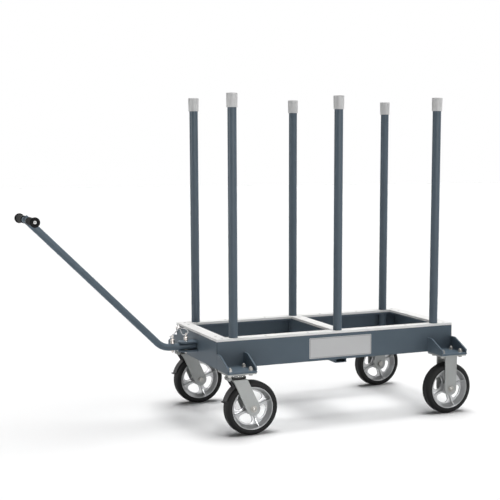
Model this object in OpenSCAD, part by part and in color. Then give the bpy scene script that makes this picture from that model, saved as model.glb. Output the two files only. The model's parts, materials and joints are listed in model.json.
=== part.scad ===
// Sheet goods cart: a channel-steel deck on casters, with lift-out uprights and a pinned tow handle.
// Millimetres, +Z up. The tow handle points along -X and the floor is at z = 0.
// The origin is the middle of the whole cart's plan, on the floor.

/* [Deck frame] */
// Length of the deck over the end rails
deck_length = 1016; // [840:1:1600]
// Width of the deck over the side rails
deck_width = 460; // [400:1:900]
// Height of the rolled channel rails
rail_height = 101.6; // [80:0.1:150]
// Thickness of a rail's web
rail_web = 4.7; // [3.5:0.1:8]
// Thickness of a rail's flanges
rail_flange_t = 7.5; // [5:0.1:10]
// Fillet between a rail's web and flanges
rail_fillet = 6; // [2:0.1:10]
// Thickness of the wear strips on the deck
strip_t = 9.5; // [6:0.1:20]
// Width of the two end wear strips
end_strip_width = 48.5; // [42:0.1:70]
// Width of the middle wear strip and of the members under it
cross_width = 47.6; // [36:0.1:80]
// How far the middle strip sits behind the deck's centre
cross_offset = 7; // [-30:0.1:30]
// Wall of the cross member
cross_wall = 4.7; // [3:0.1:8]
// Depth of the shallow channel under the side rails
under_depth = 14.8; // [8:0.1:30]
// Wall of the shallow channel
under_wall = 3; // [2:0.1:6]
// How far the shallow channel stops short of the rails' outer faces
under_inset = 3; // [0:0.1:20]

/* [Strip screws] */
// Diameter of a screw head
screw_head_d = 11; // [8:0.1:14]
// Diameter of a screw's shank
screw_d = 5; // [3:0.1:6]
// Length of a screw under its head
screw_length = 14; // [11:0.1:25]
// Distance from the deck's end to the first screw of a side strip
screw_inset = 28; // [20:0.1:45]
// Distance between the screws at each end of a side strip
screw_pitch = 176; // [100:0.1:190]
// Distance from an end strip's end to its screw
end_screw_inset = 35; // [15:0.1:80]

/* [Uprights] */
// Outer diameter of the upright pipes
upright_d = 33.4; // [26:0.1:48]
// Wall of the upright pipes
upright_wall = 3.4; // [2:0.1:5]
// Length of the upright pipes
upright_length = 995; // [400:1:1500]
// Distance from the deck's end to the centre of the end uprights
upright_inset = 74.4; // [66:0.1:110]
// Play between an upright and its holes, on the radius
upright_clear = 0.4; // [0.2:0.05:1]
// Gap between an upright and the rail's web
upright_web_gap = 0.6; // [0.4:0.1:4]
// Metal left between an upright's hole and the flange's toe
flange_toe = 1.9; // [1.5:0.1:8]
// Height of the locating spigots
spigot_height = 25; // [10:0.1:60]
// Play between a spigot and the upright's bore, on the radius
spigot_clear = 0.3; // [0.1:0.05:1]
// Height of the plastic caps
cap_height = 51.6; // [25:0.1:80]
// Wall of the caps
cap_wall = 4.25; // [2:0.05:6]
// Rounding of the caps' top edge
cap_round = 2.5; // [0.5:0.1:3.5]
// How much narrower a cap is at its lower edge, on the radius
cap_taper = 1.1; // [0:0.1:1.7]

/* [Caster brackets] */
// Size of the square base plates
bracket_size = 114.3; // [108:0.1:140]
// Thickness of the base plates and gussets
bracket_t = 6.35; // [4:0.05:8]
// Height of the gussets at the rail
gusset_height = 57; // [40:0.1:75]
// Width of the gussets' flat top
gusset_flat = 32; // [10:0.1:40]
// Height of the gussets' outer edge
gusset_lip = 20; // [12:0.1:30]
// How far the gussets stop short of the plate's outer edge
gusset_inset = 1.5; // [0.5:0.1:12]
// Rounding of the gussets' lower outer corner
gusset_round = 6; // [2:0.1:10]
// Bolt spacing along the deck
bolt_spacing_x = 81; // [70:0.1:81.5]
// Bolt spacing across the deck
bolt_spacing_y = 66.7; // [60:0.1:76]
// Diameter of the caster bolts
bolt_d = 9.5; // [6:0.1:10]

/* [Wheels] */
// Diameter of the wheels
wheel_d = 203.2; // [180:0.1:230]
// Width of the tyres
tyre_width = 50.8; // [44:0.1:60]
// Thickness of the rubber tyres
tyre_t = 21.3; // [16:0.1:24]
// Rounding of the tyres' shoulders
tyre_round = 14; // [3:0.1:15.5]
// Width of the wheel's rim
rim_width = 48; // [34:0.1:50]
// Thickness of the wheel's rim where it meets the spoke disc
rim_t = 14; // [10:0.1:16]
// Thickness of the rim's lip
lip_t = 2.6; // [1.5:0.1:5]
// Thickness of the spoke disc
web_t = 7; // [5:0.1:12]
// Radius of the hub boss
boss_r = 21; // [19:0.1:24]
// Number of spokes
spokes = 4; // [3:1:5]
// Angle of the first spoke above the level
spoke_angle = 20; // [0:1:89]
// Width of a spoke between two windows
spoke_width = 22; // [16:0.1:26]
// Width of the disc left between the windows and the rim
window_margin = 4.3; // [2:0.1:8]
// Radius of the windows' outer corners
window_r = 13; // [6:0.1:13.5]
// Radius of the windows' inner corners
window_inner_r = 7; // [4:0.1:8]
// Width of the raised rib on each spoke
rib_width = 3.2; // [2:0.1:6]
// Height of the ribs above the spoke disc
rib_height = 16; // [3:0.1:18]
// Diameter of the axle bolts
axle_d = 12.7; // [10:0.1:16]
// Play between an axle and what it passes, on the radius
axle_clear = 0.1; // [0.05:0.01:0.3]
// Outer diameter of the bearing sleeves
bearing_d = 30; // [24:0.1:34]

/* [Casters] */
// Thickness of the caster plates and fork crowns
plate_t = 6.4; // [5:0.1:9]
// Width of a caster plate across the deck
plate_width = 101.6; // [96:0.1:107]
// Thickness of the fork legs
leg_t = 5.5; // [4:0.1:8]
// Gap between a tyre and the fork legs
leg_gap = 2.6; // [1.5:0.1:6]
// Width of the fork legs at the top
leg_width = 54; // [44:0.1:60]
// Radius of the fork legs' lower end
leg_end_r = 26; // [20:0.1:27]
// How far a swivel wheel trails behind its kingpin
trail = 52.4; // [48:0.1:60]
// Height of the upper race under a swivel caster's plate
upper_race_h = 8.9; // [6:0.1:12]
// Gap between the races
race_gap = 4; // [2.5:0.1:5]
// Height of the lower race
lower_race_h = 8; // [5:0.1:12]
// Diameter of the lower race
lower_race_d = 62; // [56:0.1:66]
// Diameter of the ball circle
ball_circle_d = 46; // [40:0.1:48]
// Diameter of the balls
ball_d = 6.35; // [5.5:0.05:6.5]
// Balls in each ring
balls = 18; // [8:1:20]
// Gap between a swivel fork's crown and its tyre
crown_gap = 4.4; // [3:0.1:8]
// Diameter of the kingpins
kingpin_d = 16; // [12:0.1:20]

/* [Brakes] */
// Gap between the brake shoe and the tyre
shoe_gap = 2.4; // [1:0.1:4]
// Thickness of the brake lever
lever_t = 3; // [2:0.1:4]
// Width of the brake shoe
shoe_width = 36; // [32:0.1:42]
// Angle around the wheel at which the shoe starts
shoe_start = 126; // [120:1:132]
// Angle around the wheel at which the shoe ends
shoe_end = 163; // [150:1:172]
// Length of the toe below the shoe
toe_length = 13; // [6:0.1:30]
// Width of the lever's arms
arm_width = 8; // [6:0.1:9]
// Distance of the lever's pivot ahead of the kingpin
pivot_ahead = 35; // [34.5:0.1:38]
// Diameter of the lever's pivot pin
pivot_d = 8; // [6:0.1:9]

/* [Tow handle] */
// Outer diameter of the handle pipe
pipe_d = 26.7; // [24:0.1:34]
// Wall of the handle pipe
pipe_wall = 2.9; // [2:0.1:4]
// Height of the handle's level end above the rails' lower edge
hitch_up = 53.2; // [40:0.1:66]
// Slope of the handle
handle_angle = 45; // [35:1:60]
// Radius of the handle's bend
bend_r = 70; // [50:0.1:90]
// Distance from the deck to the corner of the handle's bend
handle_corner = 134; // [130:0.1:200]
// Height of the cross bar above the handle's level end
handle_rise = 499; // [300:1:700]
// Outer diameter of the cross bar
bar_d = 22.2; // [19:0.1:24]
// Wall of the cross bar
bar_wall = 2.1; // [1.5:0.1:3]
// Length of the cross bar
bar_length = 288; // [220:1:420]
// Length of a grip
grip_length = 104; // [80:0.1:120]
// Diameter of a grip
grip_d = 28; // [26:0.1:32]
// Diameter of a grip's end flange
grip_flange_d = 36.5; // [33:0.1:42]
// Thickness of a grip's end flange
grip_flange_t = 5; // [3:0.1:8]
// Diameter of the plug that shows in a grip's end
plug_d = 12; // [8:0.1:14]

/* [Hitch] */
// Length of the hitch plates
hitch_length = 72; // [66:0.1:80]
// Width of the hitch plates
hitch_width = 50; // [40:0.1:80]
// Thickness of the hitch plates
hitch_t = 6.35; // [4:0.05:8]
// Distance from the deck to the rear hitch pin
rear_pin_out = 40; // [30:0.1:44]
// Distance from the deck to the front hitch pin
front_pin_out = 94; // [88:0.1:94.5]
// Diameter of the hitch pins
pin_d = 9.5; // [8:0.1:11]
// Play between a hitch pin and its holes, on the radius
pin_clear = 0.1; // [0.05:0.01:0.4]
// How far a hitch pin reaches below what it holds
pin_reach = 8; // [4:0.1:15]
// Diameter of a pin's head
pin_head_d = 16; // [12:0.1:18]
// Height of a pin's head
pin_head_h = 17; // [10:0.1:22]

/* [Plate on the side rail] */
// Length of the plate
label_length = 268; // [100:1:350]
// Height of the plate
label_height = 79.4; // [40:0.1:90]
// Thickness of the plate
label_t = 0.8; // [0.5:0.1:2]
// How far the plate's middle sits behind the deck's centre
label_offset = 3.5; // [-30:0.1:60]
// Height of the plate's lower edge above the rail's
label_up = 10; // [4:0.1:12]

/* [Hidden] */

// Directions: the handle end is the front, at -X, and the cart's left is at -Y.
front = -1;
rear = 1;
left = -1;
right = 1;
ends = [front, rear];
sides = [left, right];

// Colours
steel_blue = [0.33, 0.38, 0.42];
wear_white = [0.9, 0.9, 0.88];
zinc = [0.68, 0.69, 0.69];
bright = [0.8, 0.8, 0.82];
rubber = [0.1, 0.1, 0.11];
cap_grey = [0.7, 0.71, 0.72];
label_grey = [0.72, 0.73, 0.74];

// Small shared values
over = 1;
fine = 96;
medium = 48;
free_gap = 0.3;
fit_gap = 0.1;
hex = 6;
bolt_clear = 0.6;
head_d_share = 1.7;
head_h_share = 0.65;
nut_h_share = 0.85;

// Heights
wheel_r = wheel_d / 2;
crown_z = wheel_d + crown_gap;
lower_race_z = crown_z + plate_t;
upper_race_z = lower_race_z + lower_race_h + race_gap;
caster_height = upper_race_z + upper_race_h + plate_t;
rail_top = caster_height + rail_height;
deck_z = rail_top + strip_t;

// Plan
half_length = deck_length / 2;
half_width = deck_width / 2;
upright_r = upright_d / 2;
hole_r = upright_r + upright_clear;
rail_flange = rail_web + upright_web_gap + upright_d + upright_clear + flange_toe;
upright_y = half_width - rail_web - upright_web_gap - upright_r;
upright_foot = caster_height + rail_flange_t;
upright_xs = [-half_length + upright_inset, 0, half_length - upright_inset];
bracket_x = half_length - bracket_size / 2;
bracket_y = half_width + bracket_size / 2;
cross_x = [cross_offset - cross_width / 2, cross_offset + cross_width / 2];

// Handle
hitch_height = caster_height + hitch_up;
pipe_r = pipe_d / 2;
bend_tangent = bend_r * tan(handle_angle / 2);
bend_start = half_length + handle_corner - bend_tangent;
bend_end_out = bend_start + bend_r * sin(handle_angle);
bend_end_up = bend_r * (1 - cos(handle_angle));
bar_out = half_length + handle_corner + handle_rise / tan(handle_angle);
slope_length = (handle_rise - bend_end_up) / sin(handle_angle);
slope_over = pipe_r;
handle_gap = 4;
stub_clear = 0.25;
stub_r = pipe_r - pipe_wall - stub_clear;
bar_r = bar_d / 2;
grip_start = bar_length / 2 + grip_flange_t / 2 - grip_length;
plug_proud = 1.5;

// The origin is the middle of the whole plan, so the cart is shifted from its deck's centre.
reach_stem = bar_out + slope_over * cos(handle_angle) + pipe_r * sin(handle_angle);
reach_grip = bar_out + grip_flange_d / 2;
front_reach = max(reach_stem, reach_grip);
rear_reach = max(bracket_x + wheel_r, half_length);
cart_shift = (front_reach - rear_reach) / 2;

// Casters
leg_inner = tyre_width / 2 + leg_gap;
leg_outer = leg_inner + leg_t;
axle_r = axle_d / 2;
axle_hole_r = axle_r + axle_clear;
rim_r = wheel_r - tyre_t;
disc_r = rim_r - rim_t;
window_reach = disc_r - window_margin;
window_inner_out = 13;
plate_bottom = caster_height - plate_t;
front_axle_x = -bracket_x + trail;
kingpin_x = -bracket_x;
kingpin_head_h = 3;
kingpin_head_over = 4;
kingpin_head_r = kingpin_d / 2 + kingpin_head_over;
kingpin_nut_h = 7.5;
kingpin_nut_r = kingpin_head_r;
crown_front = 27;
crown_rear = 29;
ball_z = lower_race_z + lower_race_h + race_gap / 2;
dish_widen = 6;
dish_narrow = 2;
dish_top_r = lower_race_d / 2 + dish_widen;
dish_low_r = lower_race_d / 2 - dish_narrow;

// Brake lever
pivot_x = kingpin_x - pivot_ahead;
pivot_up = 3;
pivot_z = lower_race_z + pivot_up;
pivot_r = pivot_d / 2;
pivot_head_r = pivot_r + lever_t;
ear_t = 7.7;
ear_wall = 5;
eye_wall = 3;
ear_r = pivot_r + ear_wall;
arm_eye_r = pivot_r + eye_wall;
arm_inner = shoe_width / 2 - lever_t;
ear_outer = arm_inner - free_gap;
slot_depth = 7;
shoe_in_r = wheel_r + shoe_gap;
shoe_out_r = shoe_in_r + lever_t;
shoe_mid_r = shoe_in_r + lever_t / 2;
arm_lap_angle = 3;
toe_width_share = 0.62;
toe_slope = 12;

// Hitch
hitch_face = pipe_r + free_gap;
hitch_round_r = hitch_width / 2;
pin_r = pin_d / 2;
pin_hole_r = pin_r + pin_clear;
upper_plate_top = hitch_height + hitch_face + hitch_t;
lower_plate_low = hitch_height - hitch_face - hitch_t;
stub_end = 5;
stub_length = front_pin_out + pin_hole_r + stub_end;
eye_r = 7;
eye_wire_r = 1.5;
eye_sink = 0.5;

// Lanyards: points of each route from the deck's centre, chosen by hand
wire_r = 1.5;
wire_sides = 8;
wire_steps = 2;
anchor_inset = 64;
anchor_down = 4.9;
anchor_y = half_width - anchor_inset;
anchor_z = rail_top - anchor_down;
sleeve_outs = [8, 15];
sleeve_r = 2.8;
sleeve_length = 14;
sleeve_half_pitch = 1.9;
tab_t = 3;
tab_width = 24;
tab_height = 18;
tab_out = 20;
tab_bolt_r = 5;
tab_bolt_h = 4;
rear_route = [
    [-516, 166, 340], [-516, 159, 340], [-516, 143, 341], [-516, 122, 343], [-517, 98, 345],
    [-519, 74, 346], [-523, 50, 346], [-529, 28, 344], [-537, 12, 341], [-541, 5, 339],
    [-548, 0, 338], [-554, 5, 338], [-554, 14, 337], [-549, 30, 335], [-544, 52, 333],
    [-538, 76, 332], [-532, 100, 332], [-527, 122, 333], [-521, 144, 335], [-516, 159, 336], [-516, 166, 336]
];
front_route = [
    [-523, 166, 340], [-523, 159, 340], [-530, 140, 341], [-540, 122, 341], [-551, 104, 340],
    [-562, 84, 338], [-573, 64, 336], [-583, 44, 334], [-591, 26, 333], [-595, 13, 332], [-597, 5, 332],
    [-602, 0, 331.5], [-608, 5, 332], [-607, 16, 331], [-600, 34, 330], [-588, 54, 329],
    [-576, 74, 330], [-563, 94, 331], [-550, 113, 332], [-539, 131, 334], [-529, 148, 335],
    [-523, 159, 336], [-523, 166, 336]
];

// Puts a piece drawn from the deck's centre where the cart's origin is.
module cart() {
    translate([cart_shift, 0, 0]) children();
}

// A plate drawn in X and Z, lying between two values of Y
module plate_xz(y_low, y_high) {
    translate([0, y_high, 0]) rotate([90, 0, 0]) linear_extrude(y_high - y_low) children();
}

// A round bar along Y
module bar_y(x, z, r, y_low, y_high, sides_fn = medium) {
    translate([x, y_high, z]) rotate([90, 0, 0]) cylinder(h = y_high - y_low, r = r, $fn = sides_fn);
}

// An upright bar between two heights
module bar_z(x, y, z_low, z_high, r, sides_fn = medium) {
    translate([x, y, z_low]) cylinder(h = z_high - z_low, r = r, $fn = sides_fn);
}

// Channel profile: web at x = 0 to rail_web, flanges towards +x, from y = 0 to rail_height
module channel_2d() {
    difference() {
        square([rail_flange, rail_height]);
        difference() {
            translate([rail_web, rail_flange_t]) square([rail_flange, rail_height - 2 * rail_flange_t]);
            for (edge = [0, 1])
                translate([rail_web, edge * rail_height + (1 - 2 * edge) * rail_flange_t])
                    mirror([0, edge, 0]) difference() {
                        square(rail_fillet);
                        translate([rail_fillet, rail_fillet]) circle(r = rail_fillet, $fn = medium);
                    }
        }
    }
}

// Plan of one side's rail with mitred ends
module side_rail_plan() {
    polygon([
        [-half_length, -half_width], [half_length, -half_width],
        [half_length - rail_flange, -half_width + rail_flange],
        [-half_length + rail_flange, -half_width + rail_flange]
    ]);
}

// Plan of one end's rail with mitred ends
module end_rail_plan() {
    polygon([
        [-half_length, -half_width], [-half_length + rail_flange, -half_width + rail_flange],
        [-half_length + rail_flange, half_width - rail_flange], [-half_length, half_width]
    ]);
}

module side_rail(side) {
    color(steel_blue) cart() difference() {
        mirror([0, side > 0 ? 1 : 0, 0]) translate([0, 0, caster_height]) intersection() {
            translate([-half_length, -half_width, 0])
                rotate([90, 0, 90]) linear_extrude(deck_length) channel_2d();
            linear_extrude(rail_height) side_rail_plan();
        }
        for (x = upright_xs)
            bar_z(x, side * upright_y, upright_foot, rail_top + over, hole_r, fine);
        screw_bores();
    }
}

module end_rail(end) {
    color(steel_blue) cart() difference() {
        mirror([end > 0 ? 1 : 0, 0, 0]) translate([0, 0, caster_height]) intersection() {
            translate([-half_length, half_width, 0])
                rotate([90, 0, 0]) linear_extrude(deck_width) channel_2d();
            linear_extrude(rail_height) end_rail_plan();
        }
        screw_bores();
    }
}

// Inverted channel between the side rails' toes
module cross_member() {
    inner_half = half_width - rail_flange;
    color(steel_blue) cart() difference() {
        translate([cross_x[0], -inner_half, caster_height])
            cube([cross_width, 2 * inner_half, rail_height]);
        translate([cross_x[0] + cross_wall, -inner_half - over, caster_height - over])
            cube([cross_width - 2 * cross_wall, 2 * (inner_half + over), rail_height - cross_wall + over]);
        screw_bores();
    }
}

// Shallow open-topped channel under both side rails
module under_channel() {
    reach = half_width - under_inset;
    color(steel_blue) cart() difference() {
        translate([cross_x[0], -reach, caster_height - under_depth])
            cube([cross_width, 2 * reach, under_depth]);
        translate([cross_x[0] + under_wall, -reach - over, caster_height - under_depth + under_wall])
            cube([cross_width - 2 * under_wall, 2 * (reach + over), under_depth]);
    }
}

// Places of the strip screws, drawn from the deck's centre
side_screw_xs = [for (end = ends, n = [0, 1, 2]) end * (half_length - screw_inset - n * screw_pitch)];
side_screw_y = half_width - rail_flange / 2;
end_screw_x = half_length - end_strip_width / 2;
end_screw_y = half_width - rail_flange - end_screw_inset;
screw_places = concat(
    [for (side = sides, x = side_screw_xs) [x, side * side_screw_y]],
    [for (side = sides, end = ends) [end * end_screw_x, side * end_screw_y]],
    [for (side = sides) [cross_offset, side * end_screw_y]]
);

// A countersunk screw's outline, with some play for its hole
module screw_form(play) {
    head_r = screw_head_d / 2 + play;
    shank_r = screw_d / 2 + play;
    rotate_extrude($fn = medium)
        polygon([[0, -screw_length - play], [shank_r, -screw_length - play],
                 [shank_r, shank_r - head_r], [head_r, 0], [0, 0]]);
}

// Holes for the strip screws in the rails' top flanges and the cross member
module screw_bores() {
    for (place = screw_places)
        bar_z(place[0], place[1], rail_top - rail_height / 4, rail_top + over, screw_d / 2 + fit_gap);
}

module deck_strips() {
    inner_half = half_width - rail_flange;
    color(wear_white) cart() difference() {
        translate([0, 0, rail_top]) {
            for (side = sides)
                translate([-half_length, side > 0 ? inner_half : -half_width, 0])
                    cube([deck_length, rail_flange, strip_t]);
            for (end = ends)
                translate([end > 0 ? half_length - end_strip_width : -half_length, -inner_half + free_gap, 0])
                    cube([end_strip_width, 2 * (inner_half - free_gap), strip_t]);
            translate([cross_x[0], -inner_half + free_gap, 0])
                cube([cross_width, 2 * (inner_half - free_gap), strip_t]);
        }
        for (side = sides, x = upright_xs)
            bar_z(x, side * upright_y, rail_top - over, deck_z + over, hole_r, fine);
        for (place = screw_places)
            translate([place[0], place[1], deck_z]) screw_form(fit_gap);
    }
}

module strip_screws() {
    color(zinc) cart() for (place = screw_places)
        translate([place[0], place[1], deck_z]) screw_form(0);
}

// Every caster's plate and bolts, for one place drawn from the caster's middle
bolt_places = [for (x = [-1, 1], y = [-1, 1]) [x * bolt_spacing_x / 2, y * bolt_spacing_y / 2]];

module bolt_holes(z_low, z_high) {
    for (place = bolt_places)
        bar_z(place[0], place[1], z_low - over, z_high + over, (bolt_d + bolt_clear) / 2);
}

module at_casters(end_list = ends, side_list = sides) {
    for (end = end_list, side = side_list)
        translate([end * bracket_x, side * bracket_y, 0]) children();
}

// Gusset outline, out from the rail and up from the base plate
module gusset_2d() {
    reach = bracket_size - gusset_inset;
    difference() {
        polygon([[0, bracket_t], [reach, bracket_t], [reach, gusset_lip],
                 [gusset_flat, gusset_height], [0, gusset_height]]);
        translate([reach - gusset_round, bracket_t]) difference() {
            square(gusset_round);
            translate([0, gusset_round]) circle(r = gusset_round, $fn = medium);
        }
    }
}

module caster_brackets() {
    half = bracket_size / 2;
    color(steel_blue) cart() for (end = ends, side = sides)
        translate([end * bracket_x, side * bracket_y, caster_height]) mirror([0, side > 0 ? 0 : 1, 0]) {
            difference() {
                translate([-half, -half, 0]) cube([bracket_size, bracket_size, bracket_t]);
                bolt_holes(0, bracket_t);
            }
            for (edge = ends)
                translate([edge > 0 ? half - bracket_t : -half, -half, 0])
                    rotate([90, 0, 90]) linear_extrude(bracket_t) gusset_2d();
        }
}

module caster_bolts() {
    head_r = bolt_d * head_d_share / 2;
    head_h = bolt_d * head_h_share;
    nut_h = bolt_d * nut_h_share;
    z_low = plate_bottom;
    z_high = caster_height + bracket_t;
    color(zinc) cart() at_casters() for (place = bolt_places) {
        bar_z(place[0], place[1], z_low, z_high + nut_h + bolt_clear, bolt_d / 2);
        bar_z(place[0], place[1], z_low - head_h, z_low, head_r, hex);
        bar_z(place[0], place[1], z_high, z_high + nut_h, head_r, hex);
    }
}

module data_plate() {
    color(label_grey) cart()
        translate([label_offset - label_length / 2, -half_width - label_t, caster_height + label_up])
            cube([label_length, label_t, label_height]);
}

// One hitch plate's plan, rounded at its outer end
module hitch_plan() {
    difference() {
        union() {
            translate([-half_length - hitch_length + hitch_round_r, -hitch_width / 2])
                square([hitch_length - hitch_round_r, hitch_width]);
            translate([-half_length - hitch_length + hitch_round_r, 0]) circle(r = hitch_round_r, $fn = fine);
        }
        translate([-half_length - rear_pin_out, 0]) circle(r = pin_hole_r, $fn = medium);
    }
}

module hitch_plates() {
    color(steel_blue) cart() for (z = [hitch_height + hitch_face, lower_plate_low])
        translate([0, 0, z]) linear_extrude(hitch_t) hitch_plan();
}

// Holes for both pins, through whatever lies at the hitch
module pin_holes() {
    for (out = [rear_pin_out, front_pin_out])
        bar_z(-half_length - out, 0, lower_plate_low - over, upper_plate_top + over, pin_hole_r);
}

module handle_stub() {
    color(steel_blue) cart() difference() {
        translate([-half_length - stub_length, 0, hitch_height])
            rotate([0, 90, 0]) cylinder(h = stub_length, r = stub_r, $fn = medium);
        pin_holes();
    }
}

// The handle's centre line as one solid bar: level end, bend and slope, past its ends by some overrun
module handle_bar(r, past) {
    translate([-bend_start, 0, hitch_height]) {
        rotate([0, 90, 0])
            cylinder(h = bend_start - half_length - handle_gap + past, r = r, $fn = fine);
        translate([0, 0, bend_r]) rotate([90, 0, 0]) rotate([0, 0, -90 - handle_angle]) {
            rotate_extrude(angle = handle_angle, $fn = fine)
                translate([bend_r, 0]) circle(r = r, $fn = fine);
            translate([bend_r, 0, 0]) rotate([90, 0, 0])
                cylinder(h = slope_length + slope_over + past, r = r, $fn = fine);
        }
    }
}

module tow_handle() {
    half_bar = bar_length / 2;
    bar_height = hitch_height + handle_rise;
    color(steel_blue) cart() difference() {
        union() {
            handle_bar(pipe_r, 0);
            bar_y(-bar_out, bar_height, bar_r, -half_bar, half_bar, fine);
        }
        handle_bar(pipe_r - pipe_wall, over);
        bar_y(-bar_out, bar_height, bar_r - bar_wall, -half_bar - over, half_bar + over, fine);
        pin_holes();
    }
}

// The cross bar's axis as Z, towards one side's end
module at_bar_end(side) {
    cart() translate([-bar_out, 0, hitch_height + handle_rise])
        rotate([-side * 90, 0, 0]) children();
}

module grip(side) {
    inner = grip_start;
    outer = inner + grip_length;
    at_bar_end(side) color(rubber) difference() {
        union() {
            translate([0, 0, inner]) cylinder(h = grip_length, r = grip_d / 2, $fn = fine);
            translate([0, 0, outer - grip_flange_t])
                cylinder(h = grip_flange_t, r = grip_flange_d / 2, $fn = fine);
        }
        translate([0, 0, inner - over])
            cylinder(h = bar_length / 2 - inner + over, r = bar_r + fit_gap, $fn = fine);
        translate([0, 0, inner]) cylinder(h = grip_length + over, r = plug_d / 2 + fit_gap, $fn = medium);
    }
}

module handle_plugs() {
    inner = bar_length / 2 - grip_flange_t;
    outer = grip_start + grip_length + plug_proud;
    for (side = sides) at_bar_end(side) color(cap_grey) {
        translate([0, 0, inner])
            cylinder(h = grip_flange_t, r = bar_r - bar_wall - fit_gap, $fn = medium);
        translate([0, 0, inner]) cylinder(h = outer - inner, r = plug_d / 2, $fn = medium);
    }
}

// A hitch pin: shank, barrel head on its seat, and an upright eye for the lanyard
module hitch_pin(out, seat_z, low_z) {
    head_top = seat_z + pin_head_h;
    color(zinc) cart() translate([-half_length - out, 0, 0]) {
        bar_z(0, 0, low_z, seat_z, pin_r);
        bar_z(0, 0, seat_z, head_top, pin_head_d / 2);
        translate([0, 0, head_top + eye_r - eye_sink]) rotate([0, 90, 0])
            rotate_extrude($fn = medium) translate([eye_r, 0]) circle(r = eye_wire_r, $fn = medium);
    }
}

// An angle tab bolted to the end rail, with a crimped sleeve for each lanyard's two ends
module lanyard_anchor() {
    back_y = anchor_y + sleeve_length;
    color(zinc) cart() {
        translate([-half_length - tab_t, back_y, anchor_z - tab_height / 2])
            cube([tab_t, tab_width, tab_height]);
        translate([-half_length - tab_out, back_y, anchor_z - tab_height / 2])
            cube([tab_out, tab_t, tab_height]);
        translate([-half_length - tab_t, back_y + tab_width / 2, anchor_z]) rotate([0, -90, 0])
            cylinder(h = tab_bolt_h, r = tab_bolt_r, $fn = hex);
        for (out = sleeve_outs) {
            for (up = [-1, 1])
                bar_y(-half_length - out, anchor_z + up * sleeve_half_pitch, sleeve_r, anchor_y, back_y);
            translate([-half_length - out - sleeve_r, anchor_y, anchor_z - sleeve_half_pitch])
                cube([2 * sleeve_r, sleeve_length, 2 * sleeve_half_pitch]);
        }
    }
}

// Smooth curve through a route's points
function blend_point(p, t) =
    0.5 * ((2 * p[1]) + (p[2] - p[0]) * t + (2 * p[0] - 5 * p[1] + 4 * p[2] - p[3]) * pow(t, 2)
        + (3 * p[1] - p[0] - 3 * p[2] + p[3]) * pow(t, 3));
function route_curve(route) = concat(
    [for (i = [0 : len(route) - 2], s = [0 : wire_steps - 1])
        blend_point([route[max(i - 1, 0)], route[i], route[i + 1], route[min(i + 2, len(route) - 1)]],
                    s / wire_steps)],
    [route[len(route) - 1]]
);
function unit(v) = v / norm(v);

// A round wire swept along a route
module wire(route) {
    curve = route_curve(route);
    last = len(curve) - 1;
    rings = [for (i = [0 : last])
        let (ahead = unit(curve[min(i + 1, last)] - curve[max(i - 1, 0)]),
             across = unit(cross(ahead, [0.3, 0.1, 1])), up = cross(across, ahead))
        for (k = [0 : wire_sides - 1])
            curve[i] + wire_r * (cos(360 * k / wire_sides) * across + sin(360 * k / wire_sides) * up)];
    sides_faces = [for (i = [0 : last - 1], k = [0 : wire_sides - 1])
        let (a = i * wire_sides + k, b = i * wire_sides + (k + 1) % wire_sides)
        each [[a, b, b + wire_sides], [a, b + wire_sides, a + wire_sides]]];
    caps = [[for (k = [wire_sides - 1 : -1 : 0]) k],
            [for (k = [0 : wire_sides - 1]) last * wire_sides + k]];
    polyhedron(points = rings, faces = concat(sides_faces, caps));
}

module lanyard(route) {
    color(bright) cart() wire(route);
}

module upright(x, side) {
    color(steel_blue) cart() translate([x, side * upright_y, upright_foot]) difference() {
        cylinder(h = upright_length, r = upright_r, $fn = fine);
        translate([0, 0, -over])
            cylinder(h = upright_length + 2 * over, r = upright_r - upright_wall, $fn = fine);
    }
}

module cap(x, side) {
    cap_r = upright_r + cap_wall;
    color(cap_grey) cart()
        translate([x, side * upright_y, upright_foot + upright_length + cap_wall - cap_height])
        rotate_extrude($fn = fine) difference() {
            union() {
                polygon([[0, 0], [cap_r - cap_taper, 0], [cap_r, cap_height - cap_round],
                         [cap_r - cap_round, cap_height], [0, cap_height]]);
                translate([cap_r - cap_round, cap_height - cap_round]) circle(r = cap_round, $fn = medium);
            }
            translate([-over, -over])
                square([upright_r + fit_gap + over, cap_height - cap_wall + over]);
        }
}

module upright_spigots() {
    spigot_r = upright_r - upright_wall - spigot_clear;
    color(steel_blue) cart() for (side = sides, x = upright_xs)
        bar_z(x, side * upright_y, upright_foot, upright_foot + spigot_height, spigot_r);
}

// Where a line from a point touches a circle, on the side that turn picks
function touch(point, centre, r, turn) =
    let (away = point - centre, base = atan2(away[1], away[0]), swing = acos(r / norm(away)))
    centre + r * [cos(base + turn * swing), sin(base + turn * swing)];

// Fork leg outline from two top corners down to a round end at the axle
module leg_2d(x_front, x_rear, z_top, axle_x) {
    centre = [axle_x, wheel_r];
    top_front = [x_front, z_top];
    top_rear = [x_rear, z_top];
    polygon([top_front, top_rear, touch(top_rear, centre, leg_end_r, -1), centre,
             touch(top_front, centre, leg_end_r, 1)]);
    translate(centre) circle(r = leg_end_r, $fn = fine);
}

module fork_legs(x_front, x_rear, z_top, axle_x) {
    for (y = [-leg_outer, leg_inner]) difference() {
        plate_xz(y, y + leg_t) leg_2d(x_front, x_rear, z_top, axle_x);
        bar_y(axle_x, wheel_r, axle_hole_r, y - over, y + leg_t + over);
    }
}

module caster_plate() {
    translate([-bracket_size / 2, -plate_width / 2, plate_bottom])
        cube([bracket_size, plate_width, plate_t]);
}

module rigid_fork(side) {
    color(zinc) cart() translate([bracket_x, side * bracket_y, 0]) {
        difference() {
            caster_plate();
            bolt_holes(plate_bottom, caster_height);
        }
        fork_legs(-leg_width / 2, leg_width / 2, plate_bottom, 0);
    }
}

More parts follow.
